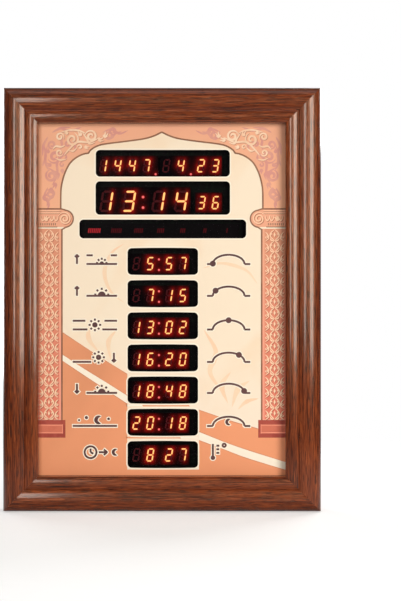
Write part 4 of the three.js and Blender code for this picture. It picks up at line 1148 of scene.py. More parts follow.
def make_flourishes():
    """A scrolling spray in each upper corner, the same along both of its arms, and faint curls beyond."""
    light, dark, blush = Shape(), Shape(), Shape()
    corner = seen([SPRAY_CORNER])[0]
    curls = [(flowing(path, spans), width) for path, spans, width in SPRAY_CURVES]
    curls += [(spiral(*values), width) for values, width in SPRAY_SPIRALS]
    leaves = [path for leaf in SPRAY_LEAVES for path in leaf_strokes(*leaf)]
    strokes = [(path, width, np.asarray(width) * 1.3) for path, width in curls]
    strokes += [(path, (0.6, 1.5, 0.4), (0.8, 1.9, 0.5)) for path in leaves]
    for path, width, soft_width in strokes:
        curl_pair(light, dark, corner + path * (1, -1), width)
        soft_lines(blush, corner + path[:, ::-1] * (1, -1), soft_width)
    faint = [flowing(path, 8) for path in FAINT_CURVES] + [spiral(*values) for values in FAINT_SPIRALS]
    for path in faint:
        for arm in (path, path[:, ::-1]):
            soft_lines(blush, corner + arm * (1, -1), (1.2, 2.6, 1.0))
    printed("corner_curls", light, "flourish_ink", smooth=True)
    printed("corner_shades", dark, "flourish_shade_ink", smooth=True)
    printed("corner_blush", blush, "blush_ink", smooth=True)


# Labels. Each stroke comes with its own width, or with None for the labels' usual width

LABEL_MIDDLES = (-63.7, 63.0)
GROUND_DROP, HAZE_RISE = 4.3, 3.9
ARROW_HEIGHT, ARROW_WING = 8.6, (1.9, 2)
SUN_ARC, SUN_ARC_FOOT, SUN_ARC_END = (15, 8.8), 4.4, 20.5
SUN_PLACES = (-0.97, -0.62, 0.0, 0.45, 0.86, None)


def crescent(x, z, radius):
    """A filled moon between an outer arc and a flatter inner one that share their horns."""
    outer = around(x, z, radius, np.linspace(radians(55), radians(305), 20))
    bulge = np.linspace(-1, 1, 20)
    drop = (bulge + 1) / 2 * (outer[0, 1] - outer[-1, 1])
    inner = np.stack([x + radius * (0.57 - 0.75 * (1 - bulge**2)), outer[0, 1] - drop], axis=1)
    return outer, inner


def sun_strokes(x, z, radius, start=0.0, end=tau, rays=8):
    """A disc or a part of one, as a thick ring, and its rays."""
    yield around(x, z, radius / 2, np.linspace(start, end, 25)), radius
    for turn in np.linspace(start, end, rays, endpoint=end - start < 6):
        yield around(x, z, np.array([radius + 1.3, radius + 3.3]), turn), None


def arrow(x, z, rise):
    """An upright arrow, upwards or downwards."""
    tip = z + rise / 2
    wing, fall = ARROW_WING
    yield [(x, z - rise / 2), (x, tip)], None
    yield [(x - wing, tip - np.sign(rise) * fall), (x, tip), (x + wing, tip - np.sign(rise) * fall)], None


def flat_line(start, end, z):
    return [(start, z), (end, z)], None


def left_mark(row, x, z):
    """Signs for the six times of day: first light, sunrise, noon, afternoon, sunset and night."""
    ground, haze, left, right = z - GROUND_DROP, z + HAZE_RISE, x - 21, x + 21
    if row in (0, 1, 4):
        yield flat_line(x - 8, right, ground)
        yield from sun_strokes(x + 6.5, ground + 0.4, 3.9 if row else 2.2, 0.12, pi - 0.12, 5)
        yield from arrow(x - 17, z, ARROW_HEIGHT if row < 2 else -ARROW_HEIGHT)
        if row == 0:
            yield flat_line(x - 8, x - 2, haze)
            yield flat_line(x + 15, right, haze)
    elif row == 5:
        for offset, radius in ((-15, 0.8), (-8, 1.2), (13, 1.0)):
            yield circle(radius * 0.7, x + offset, z + (radius - 0.6) * 6, 12), radius * 1.4
        yield flat_line(left, right, ground)
    else:
        place = x + (0 if row == 2 else 3.5)
        yield from sun_strokes(place, z, 2.7)
        yield flat_line(left, place - 7, ground)
        if row == 2:
            yield flat_line(place + 7, right, ground)
            yield flat_line(left, place - 9, haze)
            yield flat_line(place + 9, right, haze)
        else:
            yield from arrow(x + 18, z, -ARROW_HEIGHT)


def right_mark(share, x, z):
    """The sun's arc over the day, with a disc at its place on the arc."""
    (across, up), foot = SUN_ARC, z - SUN_ARC_FOOT
    turn = np.linspace(0, pi, 30)
    yield np.stack([x + across * np.cos(turn), foot + up * np.sin(turn)], axis=1), None
    yield flat_line(x - SUN_ARC_END, x - across, foot)
    yield flat_line(x + across, x + SUN_ARC_END, foot)
    if share is not None:
        at = pi * (1 - (share + 1) / 2)
        yield circle(1.5, x + across * cos(at), foot + up * sin(at), 18), 3


def label_strokes():
    left, right = LABEL_MIDDLES
    for row, (y, share) in enumerate(zip(LABEL_ROWS, SUN_PLACES)):
        yield from left_mark(row, left, seen_z(y))
        yield from right_mark(share, right, seen_z(y))


def note_strokes():
    """Small marks beside the lowest window: a dial with an arrow, and a thermometer with its scale."""
    x, z = seen([DIAL_NOTE])[0]
    yield circle(5.6, x - 10, z, 26), None
    yield [(x - 10, z), (x - 10, z + 3.4)], None
    yield [(x - 10, z), (x - 7.4, z - 1.4)], None
    yield flat_line(x - 2.2, x + 5.2, z)
    yield [(x + 2.6, z + 2.6), (x + 5.6, z), (x + 2.6, z - 2.6)], None
    x, z = seen([HEAT_NOTE])[0]
    yield circle(1.15, x - 2.5, z - 5.6, 16), 2.3
    yield [(x - 2.5, z - 4), (x - 2.5, z + 7.5)], None
    for rise in (-1, 2.4, 5.8):
        yield flat_line(x + 0.8, x + 3.6, z + rise)
    yield circle(1.5, x + 8.2, z + 6.2, 14), None


def longer_path(path, spare):
    """A path with a point added beyond each of its ends."""
    ends = [path[0] - path[1], path[-1] - path[-2]]
    first, last = (end / np.linalg.norm(end) * spare for end in ends)
    return np.concatenate([[path[0] + first], path, [path[-1] + last]])


def make_labels():
    """Each label's dark strokes over wider pale ones, and three filled moons."""
    dark, pale = Shape(), Shape()
    width, rim = mm(sizes().label_width), mm(sizes().label_rim)
    for path, own_width in [*label_strokes(), *note_strokes()]:
        path = np.asarray(path, float)
        closed = bool(np.allclose(path[0], path[-1]))
        path = path if closed or len(path) > 12 else resample(path, 0.5)
        size = own_width or width
        stroke(dark, path, size, LINE + 0.004, INK_RISE * 2, taper=0, closed=closed)
        under = path if closed else longer_path(path, rim)
        stroke(pale, under, size + 2 * rim, LINE, INK_RISE, taper=0, closed=closed)
    night_z = seen_z(LABEL_ROWS[-1])
    note_x, note_z = seen([MOON_NOTE])[0]
    for moon in ((-60.2, night_z + 1.4, 4.2), (63.0, night_z - 0.6, 3.2), (note_x - 2.6, note_z, 3.4)):
        outer, inner = crescent(*moon)
        field(dark, outer, inner, LINE + 0.02, LINE + 0.05)
        edge = np.concatenate([outer, inner[::-1][1:]])
        stroke(pale, resample(edge, 0.5), 2 * rim, LINE, INK_RISE, taper=0)
    printed("label_marks", dark, "label_ink", smooth=True)
    printed("label_edges", pale, "rim_ink", smooth=True)


# Displays

SEGMENTS = {
    "0": "abcdef", "1": "bc", "2": "abged", "3": "abgcd", "4": "fgbc", "5": "afgcd",
    "6": "afgedc", "7": "abc", "8": "abcdefg", "9": "abcdfg", " ": "",
}
SLANT = 0.158
SMALL = {"width": 6.5, "height": 12.8, "stroke": 1.42, "point": 1.1}
LARGE = {"width": 11.1, "height": 20.3, "stroke": 2.15, "point": 1.4}
COLON = ((-4 * SLANT, 4), (-4 * SLANT, -6))
ROWS = {"dawn": " 557", "sunrise": " 715", "noon": "1302", "afternoon": "1620", "sunset": "1848",
        "night": "2018", "temperature": " 827"}
BAR_GAP = 0.25
SKIN_STEP = 0.7
SKIN_BACK, SKIN_FRONT = MODULE_FRONT + 0.01, MODULE_FRONT + 0.04
LIT_RISE, UNLIT_RISE = 0.05, 0.02


def display_list():
    """Each display's node, digit sizes, digit pitch, middle gap, digits, and lit points from its middle."""
    shown = [
        ("date_display_left", SMALL, 13.7, 0, "1447", ((29.2, -8),)),
        ("date_display_right", SMALL, 13.7, 5.5, " 423", ((0, -8),)),
        ("time_display", LARGE, 21.5, 6.3, "1314", COLON),
        ("seconds_display", SMALL, 13.2, 0, "36", ()),
    ]
    for name, text in ROWS.items():
        points = () if name == "temperature" else COLON
        shown.append((f"{name}_display", SMALL, 13.1, 4.7, text, points))
    return shown


def bar_axes(digit):
    """The middle line of each bar of an upright digit, by its letter, in mm from the digit's middle."""
    half = (digit["width"] - digit["stroke"]) / 2
    rise = (digit["height"] - digit["stroke"]) / 2
    return {
        "a": ((-half, rise), (half, rise)), "g": ((-half, 0), (half, 0)),
        "d": ((-half, -rise), (half, -rise)),
        "f": ((-half, 0), (-half, rise)), "b": ((half, 0), (half, rise)),
        "e": ((-half, -rise), (-half, 0)), "c": ((half, -rise), (half, 0)),
    }


def leaned(points):
    """Points of an upright digit moved to the right by SLANT times their height."""
    points = np.asarray(points, float)
    return points + np.array([SLANT, 0]) * points[:, 1:]


def add_lamp(shape, rings, depths):
    """A raised shape over three rings of points, whose value is 1 at its rim and 0 at its top."""
    count = len(rings[0])
    points = np.concatenate([spot(ring[:, 0], ring[:, 1], depth) for ring, depth in zip(rings, depths)])
    caps = [[*range(count)][::-1], [*range(2 * count, 3 * count)]]
    value = np.repeat([1.0, 1.0, 0.0], count)
    shape.add(points, [grid_faces(3, count, wrap_columns=True), caps], value=value)


def add_bar(shape, place, axis, width, rise):
    """A slanted six-sided bar on its middle line."""
    start, end = np.asarray(axis, float)
    reach = np.linalg.norm(end - start)
    along = (end - start) / reach
    normal = np.array([-along[1], along[0]])
    long, half = reach / 2 - BAR_GAP, width / 2
    short = long - half
    lower, upper = [(-long, 0), (-short, -half), (short, -half)], [(long, 0), (short, half), (-short, half)]
    corners = np.array(lower + upper)
    core = corners * (1 - 0.3 * half / long, 0.68)
    middle, front = (start + end) / 2, SKIN_FRONT + rise
    flat = [middle + ring[:, :1] * along + ring[:, 1:] * normal for ring in (corners, corners, core)]
    add_lamp(shape, [leaned(ring) + place for ring in flat], (SKIN_FRONT, front, front))


def add_point(shape, place, radius):
    rings = [circle(radius * share, *place, 16)[:-1] for share in (1, 1, 0.5)]
    front = SKIN_FRONT + LIT_RISE
    add_lamp(shape, rings, (SKIN_FRONT, front, front + 0.02))


def nearness(points, axes, reach):
    """The light at each point: the sum over lit lines of exp(-(distance to the line) / reach)."""
    total = np.zeros(len(points))
    for start, end in axes:
        start, end = np.asarray(start, float), np.asarray(end, float)
        span = end - start
        share = np.clip(((points - start) @ span) / max(span @ span, 1e-9), 0, 1)
        away = np.linalg.norm(points - start - share[:, None] * span, axis=1)
        total += np.exp(-away / reach)
    return np.clip(total, 0, 1)


def display_skin(node, lit_axes):
    """A display's front, a grid whose value is the light that spills from the lit lines, and its walls."""
    low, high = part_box(node)
    columns, rows = ceil(mm(high.x - low.x) / SKIN_STEP), ceil(mm(high.z - low.z) / SKIN_STEP)
    x = np.linspace(mm(low.x) - MIDDLE_X, mm(high.x) - MIDDLE_X, columns)
    z = np.linspace(mm(low.z) - MIDDLE_Z, mm(high.z) - MIDDLE_Z, rows)
    grid = np.stack(np.meshgrid(x, z), axis=-1).reshape(-1, 2)
    light = nearness(grid, lit_axes, mm(sizes().halo_reach))
    count = len(grid)
    number = np.arange(count).reshape(rows, columns)
    border = np.concatenate([number[0], number[1:, -1], number[-1, -2::-1], number[-2:0:-1, 0]])
    after = np.roll(border, -1)
    walls = np.stack([border, after, after + count, border + count], axis=1)
    skin = grid_faces(rows, columns)
    both = np.concatenate([spot(grid[:, 0], grid[:, 1], depth) for depth in (SKIN_FRONT, SKIN_BACK)])
    return Shape().add(both, [skin, skin[:, ::-1] + count, walls], value=np.concatenate([light, light * 0]))


def make_displays():
    """Fronts with red spill, lit and unlit bars, and points, each display on its own module."""
    for node, digit, pitch, gap, text, points in display_list():
        x0, z0 = node_place(node)[:2]
        lit, unlit, dots, glowing = Shape(), Shape(), Shape(), []
        for index, character in enumerate(text):
            place = index - (len(text) - 1) / 2
            middle = (x0 + place * pitch + np.sign(place) * gap / 2, z0)
            for letter, axis in bar_axes(digit).items():
                if letter in SEGMENTS[character]:
                    add_bar(lit, middle, axis, digit["stroke"], LIT_RISE)
                    glowing.append(leaned(axis) + middle)
                else:
                    add_bar(unlit, middle, axis, digit["stroke"], UNLIT_RISE)
        for across, up in points:
            place = (x0 + across, z0 + up)
            add_point(dots, place, digit["point"])
            glowing.append((place, place))
        front = display_skin(node, glowing)
        stem = node.replace("_display", "")
        for shape, end, material, value in (
                (front, "front", "display_front", "glow"), (lit, "lit_bars", "lit_bar", "edge"),
                (unlit, "unlit_bars", "unlit_bar", ""), (dots, "points", "lit_point", "edge")):
            if shape.count:
                name = f"{stem}_{end}"
                build(name, shape, finish(material), smooth=False, value=value)


DAY_PITCH, DAY_HALF_WIDTH, DAY_HALF_HEIGHT = 21, 9.6, 5.1
DAY_BACK, DAY_FRONT = 16.4, 17.1


def make_day_lamps():
    """One diffuser behind each weekday's marks, with the leftmost one lit; the others give off a dim painted
    glow.
    """
    middle_x, middle_z = node_place("weekday_lightbox")[:2]
    lit, unlit = Shape(), Shape()
    for day in range(7):
        x = middle_x + (day - 3) * DAY_PITCH
        near, far = ([(x - DAY_HALF_WIDTH, z), (x + DAY_HALF_WIDTH, z)]
                     for z in (middle_z - DAY_HALF_HEIGHT, middle_z + DAY_HALF_HEIGHT))
        field(lit if day == 0 else unlit, near, far, DAY_BACK, DAY_FRONT)
    build("lit_day_diffuser", lit, finish("lit_day"), smooth=False)
    build("unlit_day_diffusers", unlit, finish("painted_glow_day"), smooth=False)


# Hardware

HEAD_RADIUS, HEAD_HEIGHT, DOME_RISE, DOME_STEPS = 2.9, 1.3, 0.75, 16
SHANK_RADIUS, SHANK_POINT = 1.4, 1.6
RECESS_RADIUS, RECESS_DEPTH = 1.7, 0.75
BUTTON_NAMES = ("mode", "up", "down", "mute")
DISH_RADIUS, DISH_DEPTH, BUTTON_EDGE = 2.0, 0.28, 0.5
STEM_RADIUS, FLANGE_RADIUS, FLANGE_START, FLANGE_END, PEG_RADIUS = 2.6, 3.8, 4.3, 5.1, 1.4
REAR_FACE = 2.0
REAR_MARK_SHIFT, POLARITY_SHIFT, POLARITY_HEIGHT = 8.2, 13.5, -148
REAR_MARKS = {
    "mode": [[(-1.6, 0), (1.6, 0)], [(-1.6, 1.2), (1.6, 1.2)], [(-1.6, -1.2), (1.6, -1.2)]],
    "up": [[(-1.5, -0.9), (0, 1), (1.5, -0.9)]],
    "down": [[(-1.5, 0.9), (0, -1), (1.5, 0.9)]],
    "mute": [[(-1.7, 0.7), (-0.6, 0.7), (0.7, 1.7), (0.7, -1.7), (-0.6, -0.7), (-1.7, -0.7), (-1.7, 0.7)],
             [(1.3, -1), (2.6, 1)]],
}


def cross_recess(across, up):
    """The depth of a Phillips recess: two crossing slots that fade towards the head's rim."""
    slot = np.minimum(np.abs(across), np.abs(up))
    far = np.maximum(np.abs(across), np.abs(up))
    inside_slot = np.clip((0.42 - slot) / 0.12, 0, 1)
    return RECESS_DEPTH * inside_slot * np.clip((RECESS_RADIUS - far) / 0.4, 0, 1)


def head_dent(across, up):
    """A recess in the domed part of a screw's profile alone."""
    depth = cross_recess(across, up)
    depth[DOME_STEPS:] = 0
    return depth


def make_screws():
    """Pan-head screws: a head that falls off with the fourth power of its radius, and a pointed shank."""
    share = np.linspace(0, 1, DOME_STEPS)
    for node in sorted(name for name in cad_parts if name.startswith(("cover_screw", "hanger_screw"))):
        x, z, top, tip = node_place(node)
        dome = np.stack([share * HEAD_RADIUS, top + DOME_RISE * share**4], axis=1)
        under = top + HEAD_HEIGHT
        shank = [(SHANK_RADIUS, under), (SHANK_RADIUS, tip - SHANK_POINT), (0.0, tip)]
        head = Shape()
        turned_piece(head, np.concatenate([dome, [(HEAD_RADIUS, under)], shank]), x, z, 64, head_dent)
        screw = build(f"{node}_turned", head, finish("screw_zinc"), weld=True)
        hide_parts(node)


def make_buttons():
    """Round push buttons with a soft rim and a shallow dish, on their own bodies."""
    share, edge = np.linspace(0, 1, 7), np.linspace(0, pi / 2, 7)
    for name in BUTTON_NAMES:
        node = f"{name}_button"
        x, z, tip, end = node_place(node)
        dish = np.stack([share * DISH_RADIUS, tip + DISH_DEPTH * (1 - share**2)], axis=1)
        rim = np.stack([STEM_RADIUS - BUTTON_EDGE * (1 - np.sin(edge)),
                        tip + BUTTON_EDGE * (1 - np.cos(edge))], axis=1)
        body = [(STEM_RADIUS, FLANGE_START), (FLANGE_RADIUS, FLANGE_START), (FLANGE_RADIUS, FLANGE_END),
                (PEG_RADIUS, FLANGE_END), (PEG_RADIUS, end), (0.0, end)]
        shape = Shape()
        turned_piece(shape, np.concatenate([dish, rim, body]), x, z, 40)
        cap = build(f"{name}_cap", shape, finish("button_grey"), body=node, weld=True)
        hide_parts(node)


def rear_mark_paths():
    """Signs beside the rear controls: bars, arrows, a crossed speaker, and the plug's polarity."""
    for name, marks in REAR_MARKS.items():
        x, z = node_place(f"{name}_button")[:2]
        for mark in marks:
            yield np.asarray(mark) * (-1, 1) + (x + REAR_MARK_SHIFT, z)
    x, z = node_place("dc_jack")[0] + POLARITY_SHIFT, POLARITY_HEIGHT
    yield circle(1.1, x, z, 14)
    yield around(x, z, 2.2, np.linspace(-0.75 * pi, 0.75 * pi, 16))
    yield [(x - 5.4, z), (x - 2.6, z)]
    yield [(x + 1.2, z), (x + 5.4, z)]


def make_rear_marks():
    """Raised lines whose back lies a little inside the rear cover."""
    shape = Shape()
    for path in rear_mark_paths():
        stroke(shape, resample(path, 0.3), 0.45, REAR_FACE + 0.05, -0.25, taper=0.02)
    build("rear_marks", shape, finish("rear_mark"))


NODE_FINISHES = {
    "smoked_lens": "smoked_acrylic", "weekday_stencil": "black_film",
    "weekday_lightbox": "light_box_plastic", "ribbon_cable": "grey_ribbon",
    "display_board": "board_green", "control_board": "board_green",
    "processor_chip": "chip_black", "amplifier_chip": "chip_black", "clock_crystal": "crystal_can",
    "cell_holder": "black_plastic", "backup_cell": "cell_steel", "dc_jack": "black_plastic",
    "ir_receiver": "chip_black", "temperature_sensor": "chip_black", "power_switch_body": "black_plastic",
    "power_switch_knob": "button_grey", "speaker_basket": "basket_steel", "speaker_magnet": "ferrite",
    "speaker_cone": "paper_cone", "speaker_lead": "lead_black", "rear_cover": "cover_plastic",
    "hanger_plate": "hanger_steel",
}
FINISHES_BY_PART = {"corner_nail": "nail_steel", "_display": "display_shell", "_switch": "black_plastic"}


def dress_nodes():
    """Gives every CAD node that still shows its own finish."""
    for name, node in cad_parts.items():
        wanted = [NODE_FINISHES[name]] if name in NODE_FINISHES else []
        wanted += [named for part, named in FINISHES_BY_PART.items() if part in name]
        if wanted:
            node.data.materials.clear()
            node.data.materials.append(finish(wanted[0]))


FINISHES = {}


def finish(name):
    return FINISHES[name]


def make_finishes():
    c = colors()
    lens_alpha = 0.5
    behind_lens = 1 / (1 - lens_alpha)
    span = [(seen_z(level) + MIDDLE_Z) * MM for level in FADE_LEVELS]
    inks = {
        "surround_ink": (c.surround, c.surround_side, 9, 0.35),
        "band_ink": (c.band_warm, c.band, 7, 0.4),
        "band_edge_ink": (ink(214, 138, 98), ink(226, 150, 108), 60),
        "wash_ink": (c.peach_wash, ink(252, 214, 180), 30),
        "rim_ink": (c.rim, ink(255, 245, 226), 30),
        "outline_ink": (c.outline, ink(134, 88, 62), 40),
        "plinth_ink": (c.plinth, ink(214, 116, 90), 60),
        "plinth_dark_ink": (c.plinth_dark, ink(160, 62, 50), 80),
        "plinth_light_ink": (ink(246, 158, 132), ink(238, 146, 120), 60),
        "flourish_ink": (ink(252, 220, 190), ink(246, 204, 170), 60),
        "flourish_shade_ink": (ink(208, 142, 112), ink(198, 138, 116), 60),
        "blush_ink": (ink(226, 160, 142), ink(220, 150, 138), 60),
        "label_ink": (c.label, ink(84, 50, 52), 80),
    }
    faded_inks = {
        "column_ink": (c.column, c.column_low, *span),
        "margin_ink": (ink(240, 172, 140), ink(248, 158, 136), *span),
        "curl_ink": (c.curl, ink(255, 220, 186), *span),
        "curl_shade_ink": (c.curl_shade, ink(186, 82, 62), *span),
    }
    plastics = {
        "display_shell": (ink(24, 14, 16), 0.5),
        "unlit_bar": (c.lamp_dark, 0.45, 900),
        "black_film": (ink(12, 9, 11), 0.45, 2400, 0.000006),
        "grey_ribbon": (ink(150, 152, 158), 0.5, 700),
        "chip_black": (ink(30, 30, 33), 0.42, 2600, 0.00001),
        "black_plastic": (ink(24, 24, 26), 0.45),
        "cover_plastic": (ink(30, 30, 32), 0.52, 1300, 0.00006),
        "rear_mark": (ink(52, 52, 55), 0.4, 1300),
        "button_grey": (ink(96, 98, 104), 0.45, 1500),
        "lead_black": (ink(22, 20, 22), 0.4, 500),
        "paper_cone": (ink(40, 37, 34), 0.9, 700, 0.0001),
        "ferrite": (ink(58, 58, 62), 0.6, 900, 0.00004),
    }
    metals = {
        "basket_steel": (ink(178, 180, 184), 0.4),
        "crystal_can": (ink(200, 202, 206), 0.28),
        "cell_steel": (ink(206, 208, 210), 0.24),
        "hanger_steel": (ink(190, 190, 186), 0.36, (30.0, 9.0, 300.0)),
        "nail_steel": (ink(176, 178, 182), 0.4),
        "screw_zinc": (ink(206, 200, 178), 0.3, (40.0, 40.0, 40.0)),
    }
    kinds = ((print_ink, inks), (faded_ink, faded_inks), (moulded_plastic, plastics), (metal, metals))
    for maker, rows in kinds:
        FINISHES.update({name: maker(name, *values) for name, values in rows.items()})
    FINISHES.update({
        "walnut_foil": wood_foil(c),
        "printed_face": face_print(c),
        "smoked_acrylic": smoked_acrylic(lens_alpha),
        "display_front": halo_face(ink(12, 5, 8), c.lamp_halo),
        "lit_bar": lamp_glow("lit_bar", c.lamp_core, c.lamp_rim, behind_lens * 2.6),
        "lit_point": lamp_glow("lit_point", c.point_core, ink(214, 44, 48), behind_lens * 2),
        # The unlit weekday diffusers give off a dim painted glow, though no lamp lights them
        "painted_glow_day": even_glow("painted_glow_day", c.dim_day_glow, behind_lens),
        "lit_day": even_glow("lit_day", c.day_lit, behind_lens),
        "light_box_plastic": light_box_plastic(ink(226, 222, 212), ink(14, 10, 12)),
        "board_green": circuit_board(ink(12, 38, 26), ink(26, 62, 38)),
    })


# Stage


def pale_floor():
    """A pale floor that fades into the backdrop with the distance from its middle."""
    made = Finish("floor_pale", Roughness=0.9, Specular_IOR_Level=0.1, Emission_Strength=0.45)
    made.shader.inputs["Base Color"].default_value = ink(228, 228, 228)
    made.feed("Emission Color", made.start.node("ShaderNodeLightPath").mix(ink(0, 0, 0), ink(255, 255, 255)))
    place = made.place()
    reach = place.node("ShaderNodeVectorMath", {"operation": "LENGTH"}, {0: place}, output=1)
    clear = place.node("ShaderNodeBsdfTransparent")
    fade = reach.above(0.7, 0.5)
    mixer = made.tree.nodes.new("ShaderNodeMixShader")
    made.tree.links.new(fade.output, mixer.inputs[0])
    made.tree.links.new(made.shader.outputs[0], mixer.inputs[1])
    made.tree.links.new(clear.output, mixer.inputs[2])
    made.tree.links.new(mixer.outputs[0], made.tree.nodes["Material Output"].inputs[0])
    return made.material


def make_floor():
    """A flat floor just under the clock, in metres."""
    top = CASE_LOW.z - 0.0006
    corners = [(-1, -0.65, top), (1, -0.65, top), (1, 1, top), (-1, 1, top)]
    mesh = bpy.data.meshes.new("floor")
    mesh.from_pydata(corners, [], [(0, 1, 2, 3)])
    mesh.materials.append(pale_floor())
    linked("floor", mesh)


AIM_DEPTH = -0.03


def softbox(name, azimuth, elevation, distance, width, height, power, color=(1, 1, 1)):
    """An area light at this azimuth and elevation as seen from the clock's face, facing it."""
    aim = Vector((MIDDLE_X * MM, AIM_DEPTH, MIDDLE_Z * MM))
    a, e = radians(azimuth), radians(elevation)
    place = aim + distance * Vector((sin(a) * cos(e), -cos(a) * cos(e), sin(e)))
    lamp = bpy.data.lights.new(name, "AREA")
    lamp.shape = "RECTANGLE"
    lamp.size, lamp.size_y = width, height
    lamp.energy = power
    lamp.color = color
    lamp.spread = radians(150)
    light = linked(name, lamp)
    light.location = place
    light.rotation_euler = (aim - place).to_track_quat("-Z", "Y").to_euler()


def make_world(ambient):
    """White to the camera and a plain even light to everything else."""
    world = bpy.data.worlds.new("studio")
    world.use_nodes = True
    bpy.context.scene.world = world
    tree = world.node_tree
    background = tree.nodes["Background"]
    background.inputs[0].default_value = (1, 1, 1, 1)
    camera_ray = Socket(tree, None).node("ShaderNodeLightPath")
    strength = camera_ray * (1 - ambient) + ambient
    tree.links.new(strength.output, background.inputs[1])


def make_camera():
    """The photograph's view: straight at the face, with the clock where it lies in the picture."""
    lens = bpy.data.cameras.new("camera")
    lens.lens = 100
    lens.sensor_width = 36
    lens.clip_start = 0.05
    camera = linked("camera", lens)
    across, up = seen_x(PHOTO_SIZE[0] / 2) * MM, seen_z(PHOTO_SIZE[1] / 2) * MM
    away = PHOTO_SIZE[1] * PIXEL * MM * lens.lens / lens.sensor_width
    camera.location = (MIDDLE_X * MM + across, AIM_DEPTH - away, MIDDLE_Z * MM + up)
    camera.rotation_euler = (pi / 2, 0, 0)
    bpy.context.scene.camera = camera


def make_stage():
    """Two tall front lamps for the rails' highlights, one above, two behind, the floor and the camera."""
    make_floor()
    softbox("softbox_right", 30, 9, 1.5, 0.72, 0.7, 10.6, (1, 0.94, 0.85))
    softbox("softbox_left", -14, 10, 1.9, 0.36, 0.86, 5.4, (1, 0.96, 0.89))
    softbox("softbox_top", 0, 75, 1.4, 1.0, 0.8, 1.5)
    softbox("softbox_rear_right", 150, 25, 1.8, 1.0, 1.0, 14)
    softbox("softbox_rear_left", -145, 10, 1.9, 1.0, 1.0, 12)
    make_world(0.1)
    make_camera()
    bpy.context.scene.view_settings.view_transform = "Standard"


# Add-on


class AZAN_OT_finishes(bpy.types.Operator):
    """Makes the finishes from the clock's colours."""

    bl_idname = "azan.finishes"
    bl_label = "Finishes"

    def execute(self, context):
        make_finishes()
        return {"FINISHED"}


class AZAN_OT_frame(bpy.types.Operator):
    """Replaces the four frame rails with finely moulded ones."""

    bl_idname = "azan.frame"
    bl_label = "Frame rails"

    def execute(self, context):
        make_frame()
        return {"FINISHED"}


class AZAN_OT_sheet(bpy.types.Operator):
    """Replaces the face sheet with a finely cut one."""

    bl_idname = "azan.sheet"
    bl_label = "Face sheet"

    def execute(self, context):
        make_sheet()
        return {"FINISHED"}


class AZAN_OT_fields(bpy.types.Operator):
    """Prints the salmon surround, the peach sprays, and the orange bands with their stripes."""

    bl_idname = "azan.fields"
    bl_label = "Printed fields"

    def execute(self, context):
        print_surround()
        print_sprays()
        print_bands()
        return {"FINISHED"}


class AZAN_OT_rims(bpy.types.Operator):
    """Prints a pale rim round each window."""

    bl_idname = "azan.rims"
    bl_label = "Window rims"

    def execute(self, context):
        make_rims()
        return {"FINISHED"}


class AZAN_OT_outlines(bpy.types.Operator):
    """Prints the outline of the arch and its columns."""

    bl_idname = "azan.outlines"
    bl_label = "Arch outline"

    def execute(self, context):
        make_outlines()
        return {"FINISHED"}


class AZAN_OT_columns(bpy.types.Operator):
    """Prints the columns' grounds and their curls."""

    bl_idname = "azan.columns"
    bl_label = "Columns"

    def execute(self, context):
        make_columns()
        return {"FINISHED"}


class AZAN_OT_capitals(bpy.types.Operator):
    """Prints the columns' capitals."""

    bl_idname = "azan.capitals"
    bl_label = "Capitals"

    def execute(self, context):
        make_capitals()
        return {"FINISHED"}


class AZAN_OT_plinths(bpy.types.Operator):
    """Prints the columns' plinths."""

    bl_idname = "azan.plinths"
    bl_label = "Plinths"

    def execute(self, context):
        make_plinths()
        return {"FINISHED"}


class AZAN_OT_flourishes(bpy.types.Operator):
    """Prints the scrolling sprays in the upper corners."""

    bl_idname = "azan.flourishes"
    bl_label = "Corner sprays"

    def execute(self, context):
        make_flourishes()
        return {"FINISHED"}


class AZAN_OT_labels(bpy.types.Operator):
    """Prints the marks beside the windows."""

    bl_idname = "azan.labels"
    bl_label = "Labels"

    def execute(self, context):
        make_labels()
        return {"FINISHED"}


class AZAN_OT_displays(bpy.types.Operator):
    """Lights the bars and points of every display."""

    bl_idname = "azan.displays"
    bl_label = "Displays"

    def execute(self, context):
        make_displays()
        return {"FINISHED"}


class AZAN_OT_days(bpy.types.Operator):
    """Lights the weekday strip."""

    bl_idname = "azan.days"
    bl_label = "Weekday lamps"

    def execute(self, context):
        make_day_lamps()
        return {"FINISHED"}


class AZAN_OT_screws(bpy.types.Operator):
    """Replaces the screws with turned ones that have a cross recess."""

    bl_idname = "azan.screws"
    bl_label = "Screws"

    def execute(self, context):
        make_screws()
        return {"FINISHED"}


class AZAN_OT_buttons(bpy.types.Operator):
    """Replaces the rear buttons with rounder ones."""

    bl_idname = "azan.buttons"
    bl_label = "Buttons"

    def execute(self, context):
        make_buttons()
        return {"FINISHED"}


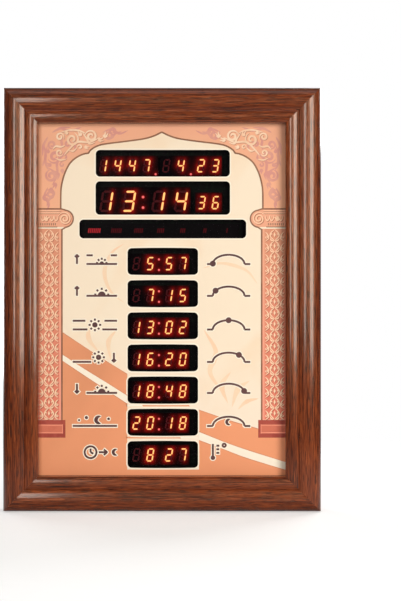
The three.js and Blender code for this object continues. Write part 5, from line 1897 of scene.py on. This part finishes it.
class AZAN_OT_marks(bpy.types.Operator):
    """Raises the signs beside the rear controls."""

    bl_idname = "azan.marks"
    bl_label = "Rear marks"

    def execute(self, context):
        make_rear_marks()
        return {"FINISHED"}


class AZAN_OT_carried(bpy.types.Operator):
    """Gives the remaining pieces their own finishes."""

    bl_idname = "azan.carried"
    bl_label = "Carried pieces"

    def execute(self, context):
        dress_nodes()
        return {"FINISHED"}


class AZAN_OT_stage(bpy.types.Operator):
    """Sets up the floor, the lights, the backdrop and the camera."""

    bl_idname = "azan.stage"
    bl_label = "Stage"

    def execute(self, context):
        make_stage()
        return {"FINISHED"}


OPERATORS = (
    AZAN_OT_finishes, AZAN_OT_frame, AZAN_OT_sheet, AZAN_OT_fields, AZAN_OT_rims, AZAN_OT_outlines,
    AZAN_OT_columns, AZAN_OT_capitals, AZAN_OT_plinths, AZAN_OT_flourishes, AZAN_OT_labels, AZAN_OT_displays,
    AZAN_OT_days, AZAN_OT_screws, AZAN_OT_buttons, AZAN_OT_marks, AZAN_OT_carried, AZAN_OT_stage,
)


class VIEW3D_PT_azan_clock(bpy.types.Panel):
    """Buttons for every step of the clock, with its sizes and colours."""

    bl_label = "Azan Clock"
    bl_space_type = "VIEW_3D"
    bl_region_type = "UI"
    bl_category = "Azan Clock"

    def draw(self, context):
        layout = self.layout
        for made in OPERATORS:
            layout.operator(made.bl_idname)
        for group in (context.scene.clock_sizes, context.scene.clock_colors):
            for name in group.bl_rna.properties.keys():
                if name not in ("rna_type", "name"):
                    layout.prop(group, name)


CLASSES = (ClockSizes, ClockColors, *OPERATORS, VIEW3D_PT_azan_clock)


def register():
    for made in CLASSES:
        bpy.utils.register_class(made)
    bpy.types.Scene.clock_sizes = bpy.props.PointerProperty(type=ClockSizes)
    bpy.types.Scene.clock_colors = bpy.props.PointerProperty(type=ClockColors)


def unregister():
    del bpy.types.Scene.clock_colors
    del bpy.types.Scene.clock_sizes
    for made in reversed(CLASSES):
        bpy.utils.unregister_class(made)


def main():
    register()
    for made in OPERATORS:
        group, name = made.bl_idname.split(".")
        getattr(getattr(bpy.ops, group), name)()


if __name__ == "__main__":
    main()
